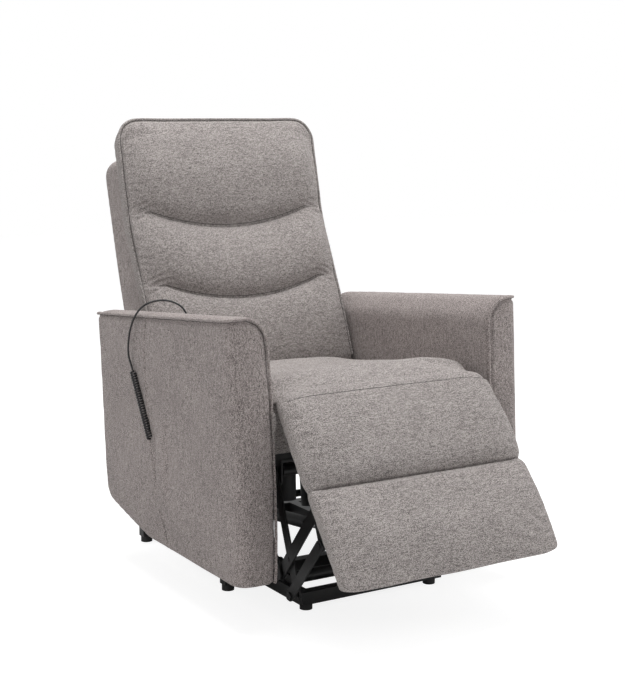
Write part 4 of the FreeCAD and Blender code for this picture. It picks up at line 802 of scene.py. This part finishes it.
# Dark thread in the channels: real stitching with painted shade of each channel's crease.
for number, middle in enumerate(back_channels):
    sewn_line = []
    for x in np.linspace(-0.232, 0.232, 150):
        height = float(smile(x, middle))
        ahead = Vector((float(x), float(lean_at(height)) - 0.2, height))
        sewn_line.append(surface_of_back.ray_cast(ahead, Vector((0.0, 1.0, 0.0)))[0])
    piping("back_channel_stitch_%d" % number, sewn_line, channel_thread_round, dark_thread_crease_shade,
           "back", [])
back_rise = [(0.2758, 0.252, 0.447), (0.2758, 0.317, 0.609), (0.2758, 0.400, 0.779),
             (0.2758, 0.462, 1.0406)]
back_line = turned_line(back_rise + [(-x, y, z) for x, y, z in reversed(back_rise)],
                        [0.3, 0.3, 0.05, 0.05, 0.3, 0.3])
back_line = hugged(back_line, back, 0.0020)
pressed(back, back_line, 0.0022)
dressed(back, cloth_across, "back", ["back_cushion"])
# The back's piping takes the darker copy of the cloth, painted shade.
piping("back_piping", back_line, welt_round, piping_across_painted_shade, "back", ["back_welt"])
# Dark thread beside the back's piping: real stitching with painted crease shade.
for number, away in enumerate(stitch_places):
    piping("back_stitch_%d" % number, beside(back_line, back, away), thread_round, dark_thread_crease_shade,
           "back", [])

# Outer back: a padded shell, narrower than the cushion, under the same cloth. It is
# stapled to the edge of the back's board.
shell = skin_of("back_shell", "back_outer", 0.006)
eased(shell, 4)
finer(shell)
spots = places(shell)
set_places(shell, spots + facings(shell) * (wavy(spots, 0.14, 15) * 0.0015)[:, None])
dressed(shell, cloth_upright_painted_warm_shade, "back", ["back_shell"])

# Handset pocket: a patch of the same cloth, a little full, sewn to the right arm along its
# sides and foot and open at the top.
pocket = skin_of("handset_pocket", "pocket_patch", 0.0022)
eased(pocket, 2)
dressed(pocket, cloth_upright_painted_warm_shade, "chassis", ["handset_pocket"])


# Steelwork: pressed bars, plates and bent tubes, riveted and welded, with a thin black
# powder coat baked on.
def finished(nodes, finish):
    for node in nodes:
        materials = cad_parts[node].data.materials
        materials.clear()
        materials.append(finish)


black_coat, coat_shader, coat_place = new_finish("black_powder_coat")
coat_peel = coat_place.grain(0.0022, 2.0)
coat_wear = coat_place.grain(0.035, 4.0, 0.6)
coat_wear.tints(coat_shader, (0.35, (0.0085, 0.0085, 0.009)), (0.75, (0.017, 0.0168, 0.0165)))
(coat_wear * 0.22 + 0.32).goes_to(coat_shader, "Roughness")
raised(coat_peel, coat_shader, 0.0002, 0.5)
steelwork = ["base_frame", "lift_torque_tube", "lift_tie_tube", "front_cross_tube",
             "rear_cross_tube", "seat_frame", "back_torque_tube", "footrest_torque_tube"]
for hand in ("left", "right"):
    steelwork += [bar + "_" + hand for bar in (
        "lift_arm_front", "lift_arm_rear", "side_plate", "lift_hanger", "back_bracket",
        "footrest_drive_link", "footrest_cross_link", "footrest_stay_link",
        "footrest_outer_link", "footrest_bracket")]
finished(steelwork, black_coat)

# Bright steel: the drives' rods, drawn and lightly oiled, and the bent wire springs that
# are hooked into the seat frame.
bright, bright_shader, bright_place = new_finish("drawn_steel")
bright_shader.inputs["Metallic"].default_value = 1.0
draw_marks = bright_place.stretched((1.0, 0.08, 0.3)).grain(0.0012, 3.0)
draw_marks.tints(bright_shader, (0.3, (0.42, 0.42, 0.43)), (0.7, (0.60, 0.60, 0.61)))
(draw_marks * 0.25 + 0.18).goes_to(bright_shader, "Roughness")
finished(("lift_rod", "footrest_rod", "back_rod", "seat_springs"), bright)

# Moulded parts: the drives' motors, control box, handset and feet, in fine-grained black
# plastic from moulds.
moulded, moulded_shader, moulded_place = new_finish("black_moulded_plastic")
mould_grain = moulded_place.grain(0.0007, 2.0)
mould_shade = moulded_place.grain(0.03, 3.0)
mould_shade.tints(moulded_shader, (0.3, (0.012, 0.012, 0.0125)), (0.7, (0.021, 0.021, 0.022)))
(mould_grain * 0.2 + 0.42).goes_to(moulded_shader, "Roughness")
raised(mould_grain, moulded_shader, 0.00015, 0.6)
finished(("lift_motor", "footrest_motor", "back_motor", "control_box", "handset", "base_feet"),
         moulded)

# Buttons: six moulded caps of paler grey plastic, a pair for each task, which slide in
# wells in the handset's face.
button_grey, button_shader, button_place = new_finish("button_plastic")
button_grain = button_place.grain(0.0009, 2.0)
button_grain.tints(button_shader, (0.3, (0.20, 0.205, 0.21)), (0.7, (0.26, 0.265, 0.27)))
button_shader.inputs["Roughness"].default_value = 0.45
finished(["button_%s_%s" % (task, way) for task in ("back", "footrest", "lift")
          for way in ("up", "down")], button_grey)

# Boards behind the back and the footrest: plywood faced with black lining cloth, which is
# stapled round the edge.
lining, lining_shader, lining_place = new_finish("black_lining")
lining_weave = lining_place.grain(0.0011, 3.0)
lining_weave.tints(lining_shader, (0.3, (0.010, 0.010, 0.011)), (0.7, (0.028, 0.028, 0.029)))
lining_shader.inputs["Roughness"].default_value = 0.95
raised(lining_weave, lining_shader, 0.0004, 0.5)
finished(("back_board", "footrest_board"), lining)

bpy.context.scene.view_settings.view_transform = "Standard"
